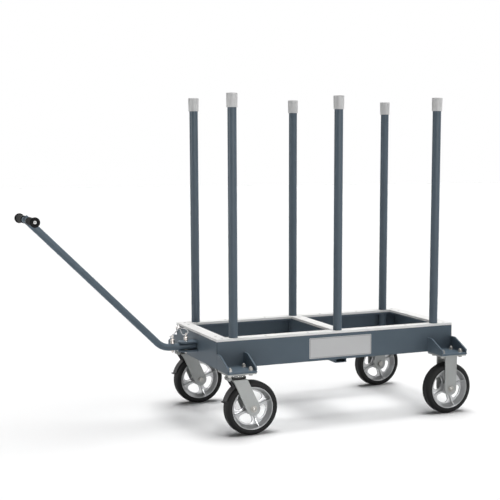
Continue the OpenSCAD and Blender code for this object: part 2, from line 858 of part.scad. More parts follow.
// Axle bolt along Y with a head and a nut outside the fork legs
module axle_bolt(x) {
    head_r = axle_d * head_d_share / 2;
    head_h = axle_d * head_h_share;
    bar_y(x, wheel_r, axle_r, -leg_outer - head_h, leg_outer + head_h);
    bar_y(x, wheel_r, head_r, -leg_outer - head_h, -leg_outer, hex);
    bar_y(x, wheel_r, head_r, leg_outer, leg_outer + head_h, hex);
}

module rigid_axles() {
    color(zinc) cart() for (side = sides)
        translate([0, side * bracket_y, 0]) axle_bolt(bracket_x);
}

module race_groove(z) {
    translate([0, 0, z]) rotate_extrude($fn = fine)
        translate([ball_circle_d / 2, 0]) circle(r = ball_d / 2 + free_gap, $fn = medium);
}

module swivel_top_plates() {
    color(zinc) cart() at_casters([front]) difference() {
        union() {
            caster_plate();
            translate([0, 0, upper_race_z])
                cylinder(h = upper_race_h, r1 = dish_low_r, r2 = dish_top_r, $fn = fine);
        }
        bolt_holes(plate_bottom, caster_height);
        bar_z(0, 0, upper_race_z - over, caster_height + over, kingpin_d / 2 + fit_gap);
        bar_z(0, 0, caster_height - kingpin_head_h, caster_height + over, kingpin_head_r + fit_gap);
        race_groove(ball_z);
    }
}

module kingpins() {
    nut_top = crown_z - free_gap;
    color(zinc) cart() at_casters([front]) {
        bar_z(0, 0, nut_top - kingpin_nut_h, caster_height, kingpin_d / 2);
        bar_z(0, 0, caster_height - kingpin_head_h, caster_height, kingpin_head_r);
        bar_z(0, 0, nut_top - kingpin_nut_h, nut_top, kingpin_nut_r, hex);
    }
}

module ball_races() {
    color(bright) cart() at_casters([front]) for (n = [0 : balls - 1])
        rotate([0, 0, n * 360 / balls]) translate([ball_circle_d / 2, 0, ball_z])
            sphere(r = ball_d / 2, $fn = medium);
}

// Two ears from the crown's leading edge that hold the brake lever's pivot pin
module brake_ears() {
    pin_half = shoe_width / 2 + free_gap;
    for (y = [-ear_outer, ear_outer - ear_t])
        plate_xz(y, y + ear_t) difference() {
            union() {
                translate([pivot_x, crown_z]) square([kingpin_x - crown_front - pivot_x, plate_t]);
                translate([pivot_x, pivot_z]) circle(r = ear_r, $fn = medium);
            }
            translate([kingpin_x - lower_race_d / 2 - 2 * free_gap, lower_race_z])
                square([lower_race_d, lower_race_h + ear_r]);
        }
    bar_y(pivot_x, pivot_z, pivot_r, -pin_half, pin_half);
    for (y = [-pin_half - lever_t, pin_half])
        bar_y(pivot_x, pivot_z, pivot_head_r, y, y + lever_t);
}

module swivel_fork(side) {
    color(zinc) cart() translate([0, side * bracket_y, 0]) {
        difference() {
            union() {
                translate([kingpin_x - crown_front, -leg_outer, crown_z])
                    cube([crown_front + crown_rear, 2 * leg_outer, plate_t]);
                bar_z(kingpin_x, 0, lower_race_z, lower_race_z + lower_race_h, lower_race_d / 2, fine);
            }
            bar_z(kingpin_x, 0, crown_z - over, lower_race_z + lower_race_h + over,
                  kingpin_d / 2 + fit_gap);
            translate([kingpin_x, 0, 0]) race_groove(ball_z);
            for (y = [-shoe_width / 2 - free_gap, ear_outer])
                translate([kingpin_x - crown_front - over, y, crown_z - over])
                    cube([slot_depth + over, lever_t + 2 * free_gap, plate_t + over]);
        }
        fork_legs(kingpin_x - crown_front, kingpin_x + crown_rear, lower_race_z, front_axle_x);
        brake_ears();
    }
}

module swivel_axle(side) {
    color(zinc) cart() translate([0, side * bracket_y, 0]) axle_bolt(front_axle_x);
}

function polar(r, angle) = r * [cos(angle), sin(angle)];

// One window between two spokes: an arc outside, round corners and edges along the spokes
module window_2d() {
    spoke_at = 180 / spokes;
    inner_mid_r = boss_r + window_inner_out;
    outer_mid_r = window_reach - window_r;
    outer_at = spoke_at - asin((spoke_width / 2 + window_r) / outer_mid_r);
    inner_at = spoke_at - asin((spoke_width / 2 + window_inner_r) / inner_mid_r);
    for (turn = [0, 1]) mirror([0, turn]) {
        outer_mid = polar(outer_mid_r, outer_at);
        inner_mid = polar(inner_mid_r, inner_at);
        translate(outer_mid) circle(r = window_r, $fn = medium);
        translate(inner_mid) circle(r = window_inner_r, $fn = medium);
        polygon([[inner_mid[0] - window_inner_r, 0], inner_mid - [window_inner_r, 0], inner_mid,
                 inner_mid + polar(window_inner_r, spoke_at + 90), outer_mid + polar(window_r, spoke_at + 90),
                 outer_mid, [outer_mid[0], 0]]);
    }
    intersection() {
        circle(r = window_reach, $fn = fine);
        polygon([polar(outer_mid_r, -outer_at), polar(rim_r, -outer_at), polar(rim_r, outer_at),
                 polar(outer_mid_r, outer_at)]);
    }
}

// Half of the rim's section, with its lip at the tyre's side and its foot on the spoke disc
module rim_2d() {
    half_rim = rim_width / 2;
    polygon([[disc_r, -web_t / 2], [rim_r - lip_t, -half_rim], [rim_r, -half_rim],
             [rim_r, half_rim], [rim_r - lip_t, half_rim], [disc_r, web_t / 2]]);
}

module hub(x, side) {
    boss_half = leg_inner - free_gap;
    color(bright) cart() translate([x, side * bracket_y, wheel_r]) rotate([90, 0, 0]) difference() {
        union() {
            rotate_extrude($fn = fine) rim_2d();
            difference() {
                cylinder(h = web_t, r = disc_r + over, center = true, $fn = fine);
                for (n = [0 : spokes - 1]) rotate(spoke_angle + (n + 0.5) * 360 / spokes)
                    translate([0, 0, -web_t / 2 - over]) linear_extrude(web_t + 2 * over) window_2d();
            }
            for (n = [0 : spokes - 1]) rotate(spoke_angle + n * 360 / spokes)
                translate([boss_r - over, -rib_width / 2, -web_t / 2 - rib_height])
                    cube([rim_r - lip_t - boss_r + over, rib_width, web_t + 2 * rib_height]);
            cylinder(h = 2 * boss_half, r = boss_r, center = true, $fn = fine);
        }
        cylinder(h = 2 * leg_outer, r = bearing_d / 2, center = true, $fn = fine);
    }
}

// A tyre's section out from the rim, with round shoulders
module tyre_2d() {
    half = tyre_width / 2;
    intersection() {
        translate([0, -half]) square([tyre_t, tyre_width]);
        union() {
            translate([0, -half]) square([tyre_t - tyre_round, tyre_width]);
            translate([0, -half + tyre_round]) square([tyre_t, tyre_width - 2 * tyre_round]);
            for (edge = sides)
                translate([tyre_t - tyre_round, edge * (half - tyre_round)])
                    circle(r = tyre_round, $fn = medium);
        }
    }
}

module tyre(x, side) {
    color(rubber) cart() translate([x, side * bracket_y, wheel_r]) rotate([90, 0, 0])
        rotate_extrude($fn = fine) translate([rim_r, 0]) tyre_2d();
}

module bearing(x, side) {
    color(bright) cart() translate([x, side * bracket_y, wheel_r]) rotate([90, 0, 0]) difference() {
        cylinder(h = 2 * (leg_inner - free_gap), r = bearing_d / 2, center = true, $fn = fine);
        cylinder(h = 2 * leg_outer, r = axle_hole_r, center = true, $fn = fine);
    }
}

// Sector of a ring around the wheel, between two angles
module ring_sector(r_in, r_out, from, to) {
    far = 2 * r_out;
    intersection() {
        difference() {
            circle(r = r_out, $fn = fine);
            circle(r = r_in, $fn = fine);
        }
        polygon([[0, 0], far * [cos(from), sin(from)], far * [cos((from + to) / 2), sin((from + to) / 2)],
                 far * [cos(to), sin(to)]]);
    }
}

module brake_lever(side) {
    half = shoe_width / 2;
    centre = [front_axle_x, wheel_r];
    shoe_top = centre + shoe_mid_r * [cos(shoe_start + arm_lap_angle), sin(shoe_start + arm_lap_angle)];
    to_shoe = shoe_top - [pivot_x, pivot_z];
    arm_angle = atan2(to_shoe[1], to_shoe[0]);
    toe_at = centre + shoe_mid_r * [cos(shoe_end), sin(shoe_end)];
    color(rubber) cart() translate([0, side * bracket_y, 0]) {
        for (y = [-half, arm_inner]) difference() {
            plate_xz(y, y + lever_t) intersection() {
                union() {
                    translate([pivot_x, pivot_z]) circle(r = arm_eye_r, $fn = medium);
                    translate([pivot_x, pivot_z]) rotate(arm_angle) translate([0, -arm_width / 2])
                        square([norm(to_shoe) + arm_width / 2, arm_width]);
                }
                difference() {
                    translate([pivot_x - wheel_r, 0]) square([2 * wheel_r, 2 * caster_height]);
                    translate(centre) circle(r = shoe_in_r, $fn = fine);
                }
            }
            bar_y(pivot_x, pivot_z, pivot_r + fit_gap, y - over, y + lever_t + over);
        }
        plate_xz(-half, half) translate(centre) ring_sector(shoe_in_r, shoe_out_r, shoe_start, shoe_end);
        plate_xz(-half * toe_width_share, half * toe_width_share)
            translate(toe_at) rotate(180 + toe_slope) translate([-lever_t / 2, -lever_t / 2])
                square([toe_length, lever_t]);
    }
}

side_rail(left);  // side_rail_left
side_rail(right);  // side_rail_right
end_rail(front);  // end_rail_front
end_rail(rear);  // end_rail_rear
cross_member();
under_channel();
deck_strips();
strip_screws();
caster_brackets();
caster_bolts();
data_plate();
hitch_plates();
handle_stub();
lanyard_anchor();
tow_handle();
grip(left);  // grip_left
grip(right);  // grip_right
handle_plugs();
hitch_pin(rear_pin_out, upper_plate_top, lower_plate_low - pin_reach);  // hitch_pin_rear
hitch_pin(front_pin_out, hitch_height + hitch_face, hitch_height - pipe_r - pin_reach);  // hitch_pin_front
lanyard(rear_route);  // lanyard_rear
lanyard(front_route);  // lanyard_front
upright(upright_xs[0], left);  // upright_front_left
upright(upright_xs[0], right);  // upright_front_right
upright(upright_xs[1], left);  // upright_middle_left
upright(upright_xs[1], right);  // upright_middle_right
upright(upright_xs[2], left);  // upright_rear_left
upright(upright_xs[2], right);  // upright_rear_right
cap(upright_xs[0], left);  // cap_front_left
cap(upright_xs[0], right);  // cap_front_right
cap(upright_xs[1], left);  // cap_middle_left
cap(upright_xs[1], right);  // cap_middle_right
cap(upright_xs[2], left);  // cap_rear_left
cap(upright_xs[2], right);  // cap_rear_right
upright_spigots();
rigid_fork(left);  // rigid_fork_left
rigid_fork(right);  // rigid_fork_right
rigid_axles();
swivel_top_plates();
kingpins();
ball_races();
swivel_fork(left);  // swivel_fork_left
swivel_fork(right);  // swivel_fork_right
swivel_axle(left);  // swivel_axle_left
swivel_axle(right);  // swivel_axle_right
hub(front_axle_x, left);  // hub_front_left
hub(front_axle_x, right);  // hub_front_right
hub(bracket_x, left);  // hub_rear_left
hub(bracket_x, right);  // hub_rear_right
tyre(front_axle_x, left);  // tyre_front_left
tyre(front_axle_x, right);  // tyre_front_right
tyre(bracket_x, left);  // tyre_rear_left
tyre(bracket_x, right);  // tyre_rear_right
bearing(front_axle_x, left);  // bearing_front_left
bearing(front_axle_x, right);  // bearing_front_right
bearing(bracket_x, left);  // bearing_rear_left
bearing(bracket_x, right);  // bearing_rear_right
brake_lever(left);  // brake_lever_left
brake_lever(right);  // brake_lever_right
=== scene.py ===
"""Looks of a sheet goods cart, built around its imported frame. Metres, +Z up; the tow handle points along -X."""
import json
import math
import random

import bmesh
import bpy
from mathutils import Matrix, Vector

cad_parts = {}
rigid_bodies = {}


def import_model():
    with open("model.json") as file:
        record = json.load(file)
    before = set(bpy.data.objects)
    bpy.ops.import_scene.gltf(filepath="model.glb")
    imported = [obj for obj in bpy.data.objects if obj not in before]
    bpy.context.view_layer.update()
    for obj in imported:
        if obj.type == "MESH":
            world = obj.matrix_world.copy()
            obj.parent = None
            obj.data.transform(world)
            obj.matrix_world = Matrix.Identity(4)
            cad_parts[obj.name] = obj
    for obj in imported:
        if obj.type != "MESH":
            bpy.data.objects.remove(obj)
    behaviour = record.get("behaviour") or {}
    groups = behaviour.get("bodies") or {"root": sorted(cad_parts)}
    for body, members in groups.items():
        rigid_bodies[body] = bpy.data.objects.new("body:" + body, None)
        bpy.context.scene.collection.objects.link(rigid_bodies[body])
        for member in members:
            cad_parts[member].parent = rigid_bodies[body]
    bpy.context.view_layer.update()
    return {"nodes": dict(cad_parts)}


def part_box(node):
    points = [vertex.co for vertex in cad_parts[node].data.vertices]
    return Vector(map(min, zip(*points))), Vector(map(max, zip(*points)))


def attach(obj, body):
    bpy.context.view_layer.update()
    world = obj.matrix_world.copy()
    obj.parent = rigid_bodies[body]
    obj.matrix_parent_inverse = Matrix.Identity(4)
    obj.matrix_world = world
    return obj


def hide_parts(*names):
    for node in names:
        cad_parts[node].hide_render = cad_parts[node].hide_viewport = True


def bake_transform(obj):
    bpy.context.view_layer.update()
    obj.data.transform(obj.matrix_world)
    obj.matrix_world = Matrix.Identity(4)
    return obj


for leftover in list(bpy.data.objects):
    bpy.data.objects.remove(leftover)

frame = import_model()

MM = 0.001
TURN = 2 * math.pi
ALONG, ACROSS, UP = Vector((1, 0, 0)), Vector((0, 1, 0)), Vector((0, 0, 1))
SIDES = ((-1, "left"), (1, "right"))
rng = random.Random(7)
scene = bpy.context.scene
deck_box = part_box("deck_strips")
deck_middle = (deck_box[0].x + deck_box[1].x) / 2


def at(x, y, z):
    """A point given in millimetres from the middle of the deck's plan, on the floor."""
    return Vector((deck_middle + x * MM, y * MM, z * MM))


def middle(node):
    """The middle of a node's box, in metres."""
    low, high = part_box(node)
    return (low + high) / 2


def box_mm(node):
    """A node's low and high corner, in millimetres from the middle of the deck's plan."""
    return [(corner - at(0, 0, 0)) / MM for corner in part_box(node)]


def middle_mm(node):
    low, high = box_mm(node)
    return (low + high) / 2


# Camera, from the photograph's frame of 500 by 500 pixels
IMAGE_PX = 500
FOCAL_PX = 1077.92
AXIS_PX = (281.26, 294.52)
CAMERA_PLACE = (-1880.3, -3890.9, 1024.7)
CAMERA_YAW = math.radians(24.03)
CAMERA_DIP = math.radians(7.37)
SENSOR = 36
CLIP_END = 100


def make_camera():
    data = bpy.data.cameras.new("camera")
    data.sensor_width = SENSOR
    data.lens = FOCAL_PX / IMAGE_PX * SENSOR
    data.shift_x = (IMAGE_PX / 2 - AXIS_PX[0]) / IMAGE_PX
    data.shift_y = (AXIS_PX[1] - IMAGE_PX / 2) / IMAGE_PX
    data.clip_end = CLIP_END
    camera = bpy.data.objects.new("camera", data)
    ahead = Vector((math.sin(CAMERA_YAW) * math.cos(CAMERA_DIP),
                    math.cos(CAMERA_YAW) * math.cos(CAMERA_DIP), -math.sin(CAMERA_DIP)))
    camera.location = at(*CAMERA_PLACE)
    camera.rotation_euler = ahead.to_track_quat("-Z", "Y").to_euler()
    scene.collection.objects.link(camera)
    scene.camera = camera


make_camera()


# Mesh helpers; their sizes are in millimetres
MERGE_WITHIN = 0.02
FLAT_WITHIN = math.radians(0.3)
BEVEL_STEPS = 2


def finish_mesh(name, bm, material, body, replaces=(), sharp=40, weighted=True):
    """Turns a bmesh into a piece that rides on a body, or on no body when body is None."""
    bmesh.ops.recalc_face_normals(bm, faces=bm.faces)
    mesh = bpy.data.meshes.new(name)
    bm.to_mesh(mesh)
    bm.free()
    mesh.shade_smooth()
    mesh.set_sharp_from_angle(angle=math.radians(sharp))
    piece = bpy.data.objects.new(name, mesh)
    scene.collection.objects.link(piece)
    piece.data.materials.append(material)
    if weighted:
        modifier = piece.modifiers.new("weighted", "WEIGHTED_NORMAL")
        modifier.keep_sharp = True
    if body:
        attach(piece, body)
    if replaces:
        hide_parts(*replaces)
    return piece


def node_mesh(node):
    """A clean copy of a CAD node's mesh: one vertex per corner, flat faces whole."""
    bm = bmesh.new()
    bm.from_mesh(frame["nodes"][node].data)
    bmesh.ops.remove_doubles(bm, verts=bm.verts, dist=MERGE_WITHIN * MM)
    bmesh.ops.dissolve_limit(bm, angle_limit=FLAT_WITHIN, verts=bm.verts, edges=bm.edges)
    return bm


def soften(bm, width, angle=32):
    """Rounds the edges that are sharper than an angle."""
    edges = [e for e in bm.edges if e.is_manifold and e.calc_face_angle(0) > math.radians(angle)]
    bmesh.ops.bevel(bm, geom=edges, offset=width * MM, offset_type="OFFSET", segments=BEVEL_STEPS,
                    profile=0.5, affect="EDGES", clamp_overlap=False)


def dress(node, material, body, width, angle=32, ending="finished"):
    """A CAD node's own shape with rounded edges and a finish."""
    bm = node_mesh(node)
    soften(bm, width, angle)
    finish_mesh("%s_%s" % (node, ending), bm, material, body, [node])


def bridge(bm, rings):
    """Quads from each ring of vertices to the next one in a list."""
    for a, b in zip(rings, rings[1:]):
        for k in range(len(a)):
            n = (k + 1) % len(a)
            bm.faces.new((a[k], a[n], b[n], b[k]))


# A shape drawn along Z, turned to lie along an axis
TURNS = {"X": Matrix.Rotation(math.pi / 2, 4, "Y"), "Y": Matrix.Rotation(-math.pi / 2, 4, "X"),
         "Z": Matrix.Identity(4)}


def lathe(bm, profile, place, axis="Y", segments=96, closed=True):
    """Turns a profile of (radius, along) in millimetres about an axis through a place."""
    to_place = Matrix.Translation(place) @ TURNS[axis]
    rings = []
    for radius, along in profile:
        if not radius:
            rings.append([bm.verts.new(to_place @ Vector((0, 0, along * MM)))])
            continue
        rings.append([bm.verts.new(to_place @ Vector((radius * MM * math.cos(TURN * k / segments),
                                                      radius * MM * math.sin(TURN * k / segments),
                                                      along * MM))) for k in range(segments)])
    pairs = list(zip(rings, rings[1:]))
    if closed:
        pairs.append((rings[-1], rings[0]))
    for a, b in pairs:
        if len(a) == len(b) == 1:
            continue
        if len(a) == len(b):
            bridge(bm, [a, b])
            continue
        for k in range(segments):
            n = (k + 1) % segments
            bm.faces.new((a[0], b[n], b[k]) if len(a) == 1 else (a[k], a[n], b[0]))


def arc(centre, radius, start, end, steps):
    """Points of a flat arc, in degrees."""
    out = []
    for k in range(steps + 1):
        t = math.radians(start + (end - start) * k / steps)
        out.append((centre[0] + radius * math.cos(t), centre[1] + radius * math.sin(t)))
    return out


def circle(centre, radius, steps):
    """Points of a closed flat circle."""
    return arc(centre, radius, 0, 360 - 360 / steps, steps - 1)


SWEEP_UP = Vector((0.3, 0.1, 1))


def sweep(bm, points, radii, sides=10, shape=None):
    """A closed tube along points; shape gives the radius share at an angle and a distance."""
    rings = []
    last = len(points) - 1
    run = 0.0
    for i, p in enumerate(points):
        ahead = (points[min(i + 1, last)] - points[max(i - 1, 0)]).normalized()
        across = ahead.cross(SWEEP_UP).normalized()
        up = across.cross(ahead)
        if i:
            run += (p - points[i - 1]).length
        loop = []
        for k in range(sides):
            t = TURN * k / sides
            r = radii[i] * (shape(t, run) if shape else 1)
            loop.append(bm.verts.new(p + across * r * math.cos(t) + up * r * math.sin(t)))
        rings.append(loop)
    bridge(bm, rings)
    bm.faces.new(list(reversed(rings[0])))
    bm.faces.new(rings[-1])


WELD_PITCH = 2.6
WELD_RIPPLE = (0.86, 1.0, 0.94)
WELD_END = 0.6


def weld(bm, path, radius):
    """A weld bead with its ripples along a path of points."""
    points, radii = [], []
    for a, b in zip(path, path[1:]):
        steps = max(2, round((b - a).length / (WELD_PITCH * MM / len(WELD_RIPPLE))))
        points += [a.lerp(b, k / steps) for k in range(steps)]
    points.append(path[-1])
    for i in range(len(points)):
        end = WELD_END if i in (0, len(points) - 1) else 1
        radii.append(radius * MM * WELD_RIPPLE[i % len(WELD_RIPPLE)] * end * rng.uniform(0.95, 1.05))
    sweep(bm, points, radii)


NUT_STEPS = 6
NUT_CROWN = 0.97
NUT_CHAMFER = math.radians(30)


def hex_nut(bm, place, axis, sign, corners, height):
    """A hexagon, wide across its corners, with them chamfered, standing on a place along an axis."""
    flat = corners / 2 * math.cos(math.pi / 6)
    crown = flat * NUT_CROWN
    count = 6 * NUT_STEPS
    to_place = Matrix.Translation(place) @ TURNS[axis]
    low, side, top = [], [], []
    for k in range(count):
        t = TURN * k / count
        reach = flat / math.cos((t % (math.pi / 3)) - math.pi / 6)
        shoulder = height - (reach - crown) * math.tan(NUT_CHAMFER)
        for loop, r, z in ((low, reach, 0), (side, reach, shoulder), (top, crown, height)):
            loop.append(bm.verts.new(to_place @ Vector((r * math.cos(t) * MM, r * math.sin(t) * MM,
                                                        sign * z * MM))))
    bridge(bm, [low, side, top])
    bm.faces.new(low)
    bm.faces.new(top)


THREAD_ROOT = 0.9
THREAD_TIP = 0.82


def thread(bm, place, axis, sign, radius, length, pitch=1.5):
    """A bolt's threaded end: ridges between two ends."""
    profile = [(0, 0), (radius, 0)]
    count = max(2, int(length / pitch))
    for k in range(count):
        z = sign * (k + 0.5) * length / count
        profile += [(radius * THREAD_ROOT, z - sign * 0.3 * pitch), (radius, z + sign * 0.2 * pitch)]
    profile += [(radius * THREAD_TIP, sign * length), (0, sign * length)]
    lathe(bm, profile, place, axis, segments=28, closed=False)


def washer(bm, place, axis, sign, radius, bore, height):
    edge = 0.25 * height
    lathe(bm, [(bore, 0), (radius - edge, 0), (radius, sign * edge), (radius, sign * (height - edge)),
               (radius - edge, sign * height), (bore, sign * height)], place, axis, segments=40)


def ring(bm, place, axis, radius, wire, segments=48, sides=14):
    """A closed ring of round wire; wire is the wire's radius."""
    lathe(bm, [(radius + wire * math.cos(TURN * k / sides), wire * math.sin(TURN * k / sides))
               for k in range(sides)], place, axis, segments)


def plate(bm, outlines, thickness, edge, to_place):
    """A flat plate with holes and rounded edges; outlines are lists of (x, y) in millimetres."""
    curve = bpy.data.curves.new("outline", "CURVE")
    curve.dimensions = "2D"
    curve.fill_mode = "BOTH"
    curve.extrude = (thickness / 2 - edge) * MM
    curve.bevel_depth = edge * MM
    curve.bevel_resolution = 2
    curve.offset = -edge * MM
    for outline in outlines:
        spline = curve.splines.new("POLY")
        spline.points.add(len(outline) - 1)
        for point, (x, y) in zip(spline.points, outline):
            point.co = (x * MM, y * MM, 0, 1)
        spline.use_cyclic_u = True
    holder = bpy.data.objects.new("outline", curve)
    mesh = bpy.data.meshes.new_from_object(holder)
    mesh.transform(to_place)
    part = bmesh.new()
    part.from_mesh(mesh)
    bmesh.ops.remove_doubles(part, verts=part.verts, dist=MERGE_WITHIN / 2 * MM)
    part.to_mesh(mesh)
    part.free()
    bm.from_mesh(mesh)
    bpy.data.meshes.remove(mesh)
    bpy.data.objects.remove(holder)
    bpy.data.curves.remove(curve)


def round_box_outline(low_x, high_x, low_y, high_y, radius, steps=5):
    return (arc((high_x - radius, high_y - radius), radius, 0, 90, steps)
            + arc((low_x + radius, high_y - radius), radius, 90, 180, steps)
            + arc((low_x + radius, low_y + radius), radius, 180, 270, steps)
            + arc((high_x - radius, low_y + radius), radius, 270, 360, steps))


def block(bm, start, end, across, half_across, up, half_up):
    """A straight bar from start to end, with its section's two directions and half a size along each."""
    rings = [[bm.verts.new(centre + across * a * half_across * MM + up * u * half_up * MM)
              for a, u in ((-1, -1), (1, -1), (1, 1), (-1, 1))] for centre in (start, end)]
    bridge(bm, rings)
    bm.faces.new(list(reversed(rings[0])))
    bm.faces.new(rings[1])


# Materials
NOISE_LOW, NOISE_HIGH = 0.3, 0.7
NOISE_ROUGHNESS = 0.55
GRAIN_DEPTH = 0.0003
GLOSS_LOW, GLOSS_HIGH = 0.9, 1.12


def new_material(name):
    material = bpy.data.materials.new(name)
    material.use_nodes = True
    return material, material.node_tree.nodes, material.node_tree.links


def coordinates(nodes, links, stretch):
    source = nodes.new("ShaderNodeTexCoord")
    mapping = nodes.new("ShaderNodeMapping")
    mapping.inputs["Scale"].default_value = stretch
    links.new(source.outputs["Object"], mapping.inputs["Vector"])
    return mapping.outputs["Vector"]


def noise(nodes, links, vector, scale, detail):
    node = nodes.new("ShaderNodeTexNoise")
    node.inputs["Scale"].default_value = scale
    node.inputs["Detail"].default_value = detail
    node.inputs["Roughness"].default_value = NOISE_ROUGHNESS
    links.new(vector, node.inputs["Vector"])
    return node.outputs["Fac"]


def ramp(nodes, links, value, colours):
    """Two colours over the values that a noise mostly gives."""
    node = nodes.new("ShaderNodeValToRGB")
    for element, place, colour in zip(node.color_ramp.elements, (NOISE_LOW, NOISE_HIGH), colours):
        element.position = place
        element.color = (*colour, 1)
    links.new(value, node.inputs["Fac"])
    return node.outputs["Color"]


def spread(nodes, links, value, low, high):
    """Two numbers over the values that a noise mostly gives."""
    node = nodes.new("ShaderNodeMapRange")
    node.inputs["From Min"].default_value = NOISE_LOW
    node.inputs["From Max"].default_value = NOISE_HIGH
    node.inputs["To Min"].default_value = low
    node.inputs["To Max"].default_value = high
    links.new(value, node.inputs["Value"])
    return node.outputs["Result"]


def bump(nodes, links, height, strength, distance):
    node = nodes.new("ShaderNodeBump")
    node.inputs["Strength"].default_value = strength
    node.inputs["Distance"].default_value = distance
    links.new(height, node.inputs["Height"])
    return node.outputs["Normal"]


def scaled(colour, share):
    return tuple(min(1, c * share) for c in colour)


def surface(name, colour, rough, metallic=0.0, specular=0.5, tone=0.05, tone_scale=9.0, grain_scale=900.0,
            grain=0.15, stretch=(1, 1, 1)):
    """A finish with broad tone, fine grain and uneven gloss."""
    material, nodes, links = new_material(name)
    shader = nodes["Principled BSDF"]
    shader.inputs["Metallic"].default_value = metallic
    shader.inputs["Specular IOR Level"].default_value = specular
    vector = coordinates(nodes, links, stretch)
    broad = noise(nodes, links, vector, tone_scale, detail=4)
    fine = noise(nodes, links, vector, grain_scale, detail=2)
    links.new(ramp(nodes, links, broad, (scaled(colour, 1 - tone), scaled(colour, 1 + tone))),
              shader.inputs["Base Color"])
    links.new(spread(nodes, links, broad, rough * GLOSS_LOW, rough * GLOSS_HIGH), shader.inputs["Roughness"])
    links.new(bump(nodes, links, fine, grain, GRAIN_DEPTH), shader.inputs["Normal"])
    return material


paint = surface("blue_grey_enamel", (0.106, 0.14, 0.172), 0.38, specular=0.09, tone=0.03, grain_scale=420,
                grain=0.12)
# seam_shade is a near-black finish: painted shade for the narrow gaps at the frame's corners.
seam_shade = surface("seam_shade", (0.014, 0.02, 0.025), 0.6, specular=0.1, tone=0.1)
black_enamel = surface("black_enamel", (0.014, 0.014, 0.016), 0.45, specular=0.25, tone=0.15, grain_scale=500)

galvanised = surface("galvanised_steel", (0.28, 0.29, 0.285), 0.52, metallic=0.25, tone=0.05, tone_scale=30,
                     grain_scale=500)
plated = surface("plated_steel", (0.42, 0.415, 0.4), 0.38, metallic=0.8, tone=0.08, tone_scale=60)
bolt_steel = surface("bolt_steel", (0.3, 0.295, 0.28), 0.4, metallic=0.7, tone=0.1, tone_scale=80)
screw_steel = surface("screw_steel", (0.42, 0.42, 0.41), 0.35, metallic=0.8, tone=0.08, tone_scale=60)
pin_steel = surface("pin_steel", (0.6, 0.555, 0.52), 0.26, metallic=0.9, tone=0.08, tone_scale=90)
bright_steel = surface("bright_steel", (0.66, 0.65, 0.64), 0.22, metallic=0.95, tone=0.05, tone_scale=80)
rope_steel = surface("rope_steel", (0.6, 0.6, 0.6), 0.24, metallic=0.95, tone=0.1, tone_scale=300)
aluminium = surface("cast_aluminium", (0.42, 0.425, 0.43), 0.3, metallic=0.8, tone=0.05, tone_scale=40,
                    grain_scale=500, grain=0.2)

tyre_rubber = surface("tyre_rubber", (0.011, 0.011, 0.0115), 0.6, specular=0.12, tone=0.2, tone_scale=25,
                      grain_scale=1100, grain=0.3)
dark_race_ring_finish = surface("dark_race_ring_finish", (0.008, 0.008, 0.008), 0.6, specular=0.2, tone=0.2, tone_scale=60)
grip_rubber = surface("grip_rubber", (0.005, 0.005, 0.005), 0.5, specular=0.05, tone=0.2, tone_scale=60,
                      grain_scale=1200, grain=0.25)
cap_plastic = surface("cap_plastic", (0.63, 0.63, 0.63), 0.5, specular=0.3, tone=0.03, grain_scale=1400,
                      grain=0.2)
plug_plastic = surface("plug_plastic", (0.84, 0.84, 0.83), 0.4, specular=0.3, tone=0.02)
strip_plastic = surface("wear_strip", (0.86, 0.855, 0.84), 0.5, specular=0.3, tone=0.03, tone_scale=14,
                        grain_scale=300, grain=0.2, stretch=(1, 4, 1))
plate_face = surface("plain_plate", (0.58, 0.585, 0.59), 0.4, specular=0.3, tone=0.02)
plate_edge = surface("plate_border", (0.36, 0.365, 0.37), 0.4, specular=0.3, tone=0.02)


# Lanyards: from the tab on the end rail round a hitch pin and back, in millimetres
REAR_ROUTE = [
    (-516, 166, 340), (-516, 159, 340), (-516, 143, 341), (-516, 122, 343), (-517, 98, 345), (-519, 74, 346),
    (-523, 50, 346), (-529, 28, 344), (-537, 12, 341), (-541, 5, 339), (-548, 0, 338), (-554, 5, 338),
    (-554, 14, 337), (-549, 30, 335), (-544, 52, 333), (-538, 76, 332), (-532, 100, 332), (-527, 122, 333),
    (-521, 144, 335), (-516, 159, 336), (-516, 166, 336),
]
FRONT_ROUTE = [
    (-523, 166, 340), (-523, 159, 340), (-530, 140, 341), (-540, 122, 341), (-551, 104, 340),
    (-562, 84, 338), (-573, 64, 336), (-583, 44, 334), (-591, 26, 333), (-595, 13, 332), (-597, 5, 332),
    (-602, 0, 331.5), (-608, 5, 332), (-607, 16, 331), (-600, 34, 330), (-588, 54, 329), (-576, 74, 330),
    (-563, 94, 331), (-550, 113, 332), (-539, 131, 334), (-529, 148, 335), (-523, 159, 336), (-523, 166, 336),
]
ROUTE_STEPS = 24
WIRE_RADIUS = 1.5
WIRE_SIDES = 24
WIRE_STRANDS = 6
WIRE_VALLEY = 0.84
LAY_LENGTH = 16


def smooth_route(route, steps):
    """Points of a smooth curve through a route's points."""
    points = [at(*p) for p in route]
    last = len(points) - 1
    out = []
    for i in range(last):
        p0, p1, p2, p3 = (points[min(max(i + n, 0), last)] for n in (-1, 0, 1, 2))
        for s in range(steps):
            t = s / steps
            out.append(0.5 * (2 * p1 + (p2 - p0) * t + (2 * p0 - 5 * p1 + 4 * p2 - p3) * t ** 2
                              + (3 * p1 - p0 - 3 * p2 + p3) * t ** 3))
    out.append(points[-1])
    return out


def strand_shape(angle, run):
    """The radius share of a rope of laid strands."""
    lobe = abs(math.cos(WIRE_STRANDS / 2 * (angle - TURN * run / (LAY_LENGTH * MM))))
    return WIRE_VALLEY + (1 - WIRE_VALLEY) * lobe


def lanyard(name, route):
    points = smooth_route(route, ROUTE_STEPS)
    bm = bmesh.new()
    sweep(bm, points, [WIRE_RADIUS * MM] * len(points), WIRE_SIDES, strand_shape)
    cable = finish_mesh(name + "_cable", bm, rope_steel, None, [name], sharp=80, weighted=False)
    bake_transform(cable)


lanyard("lanyard_rear", REAR_ROUTE)
lanyard("lanyard_front", FRONT_ROUTE)


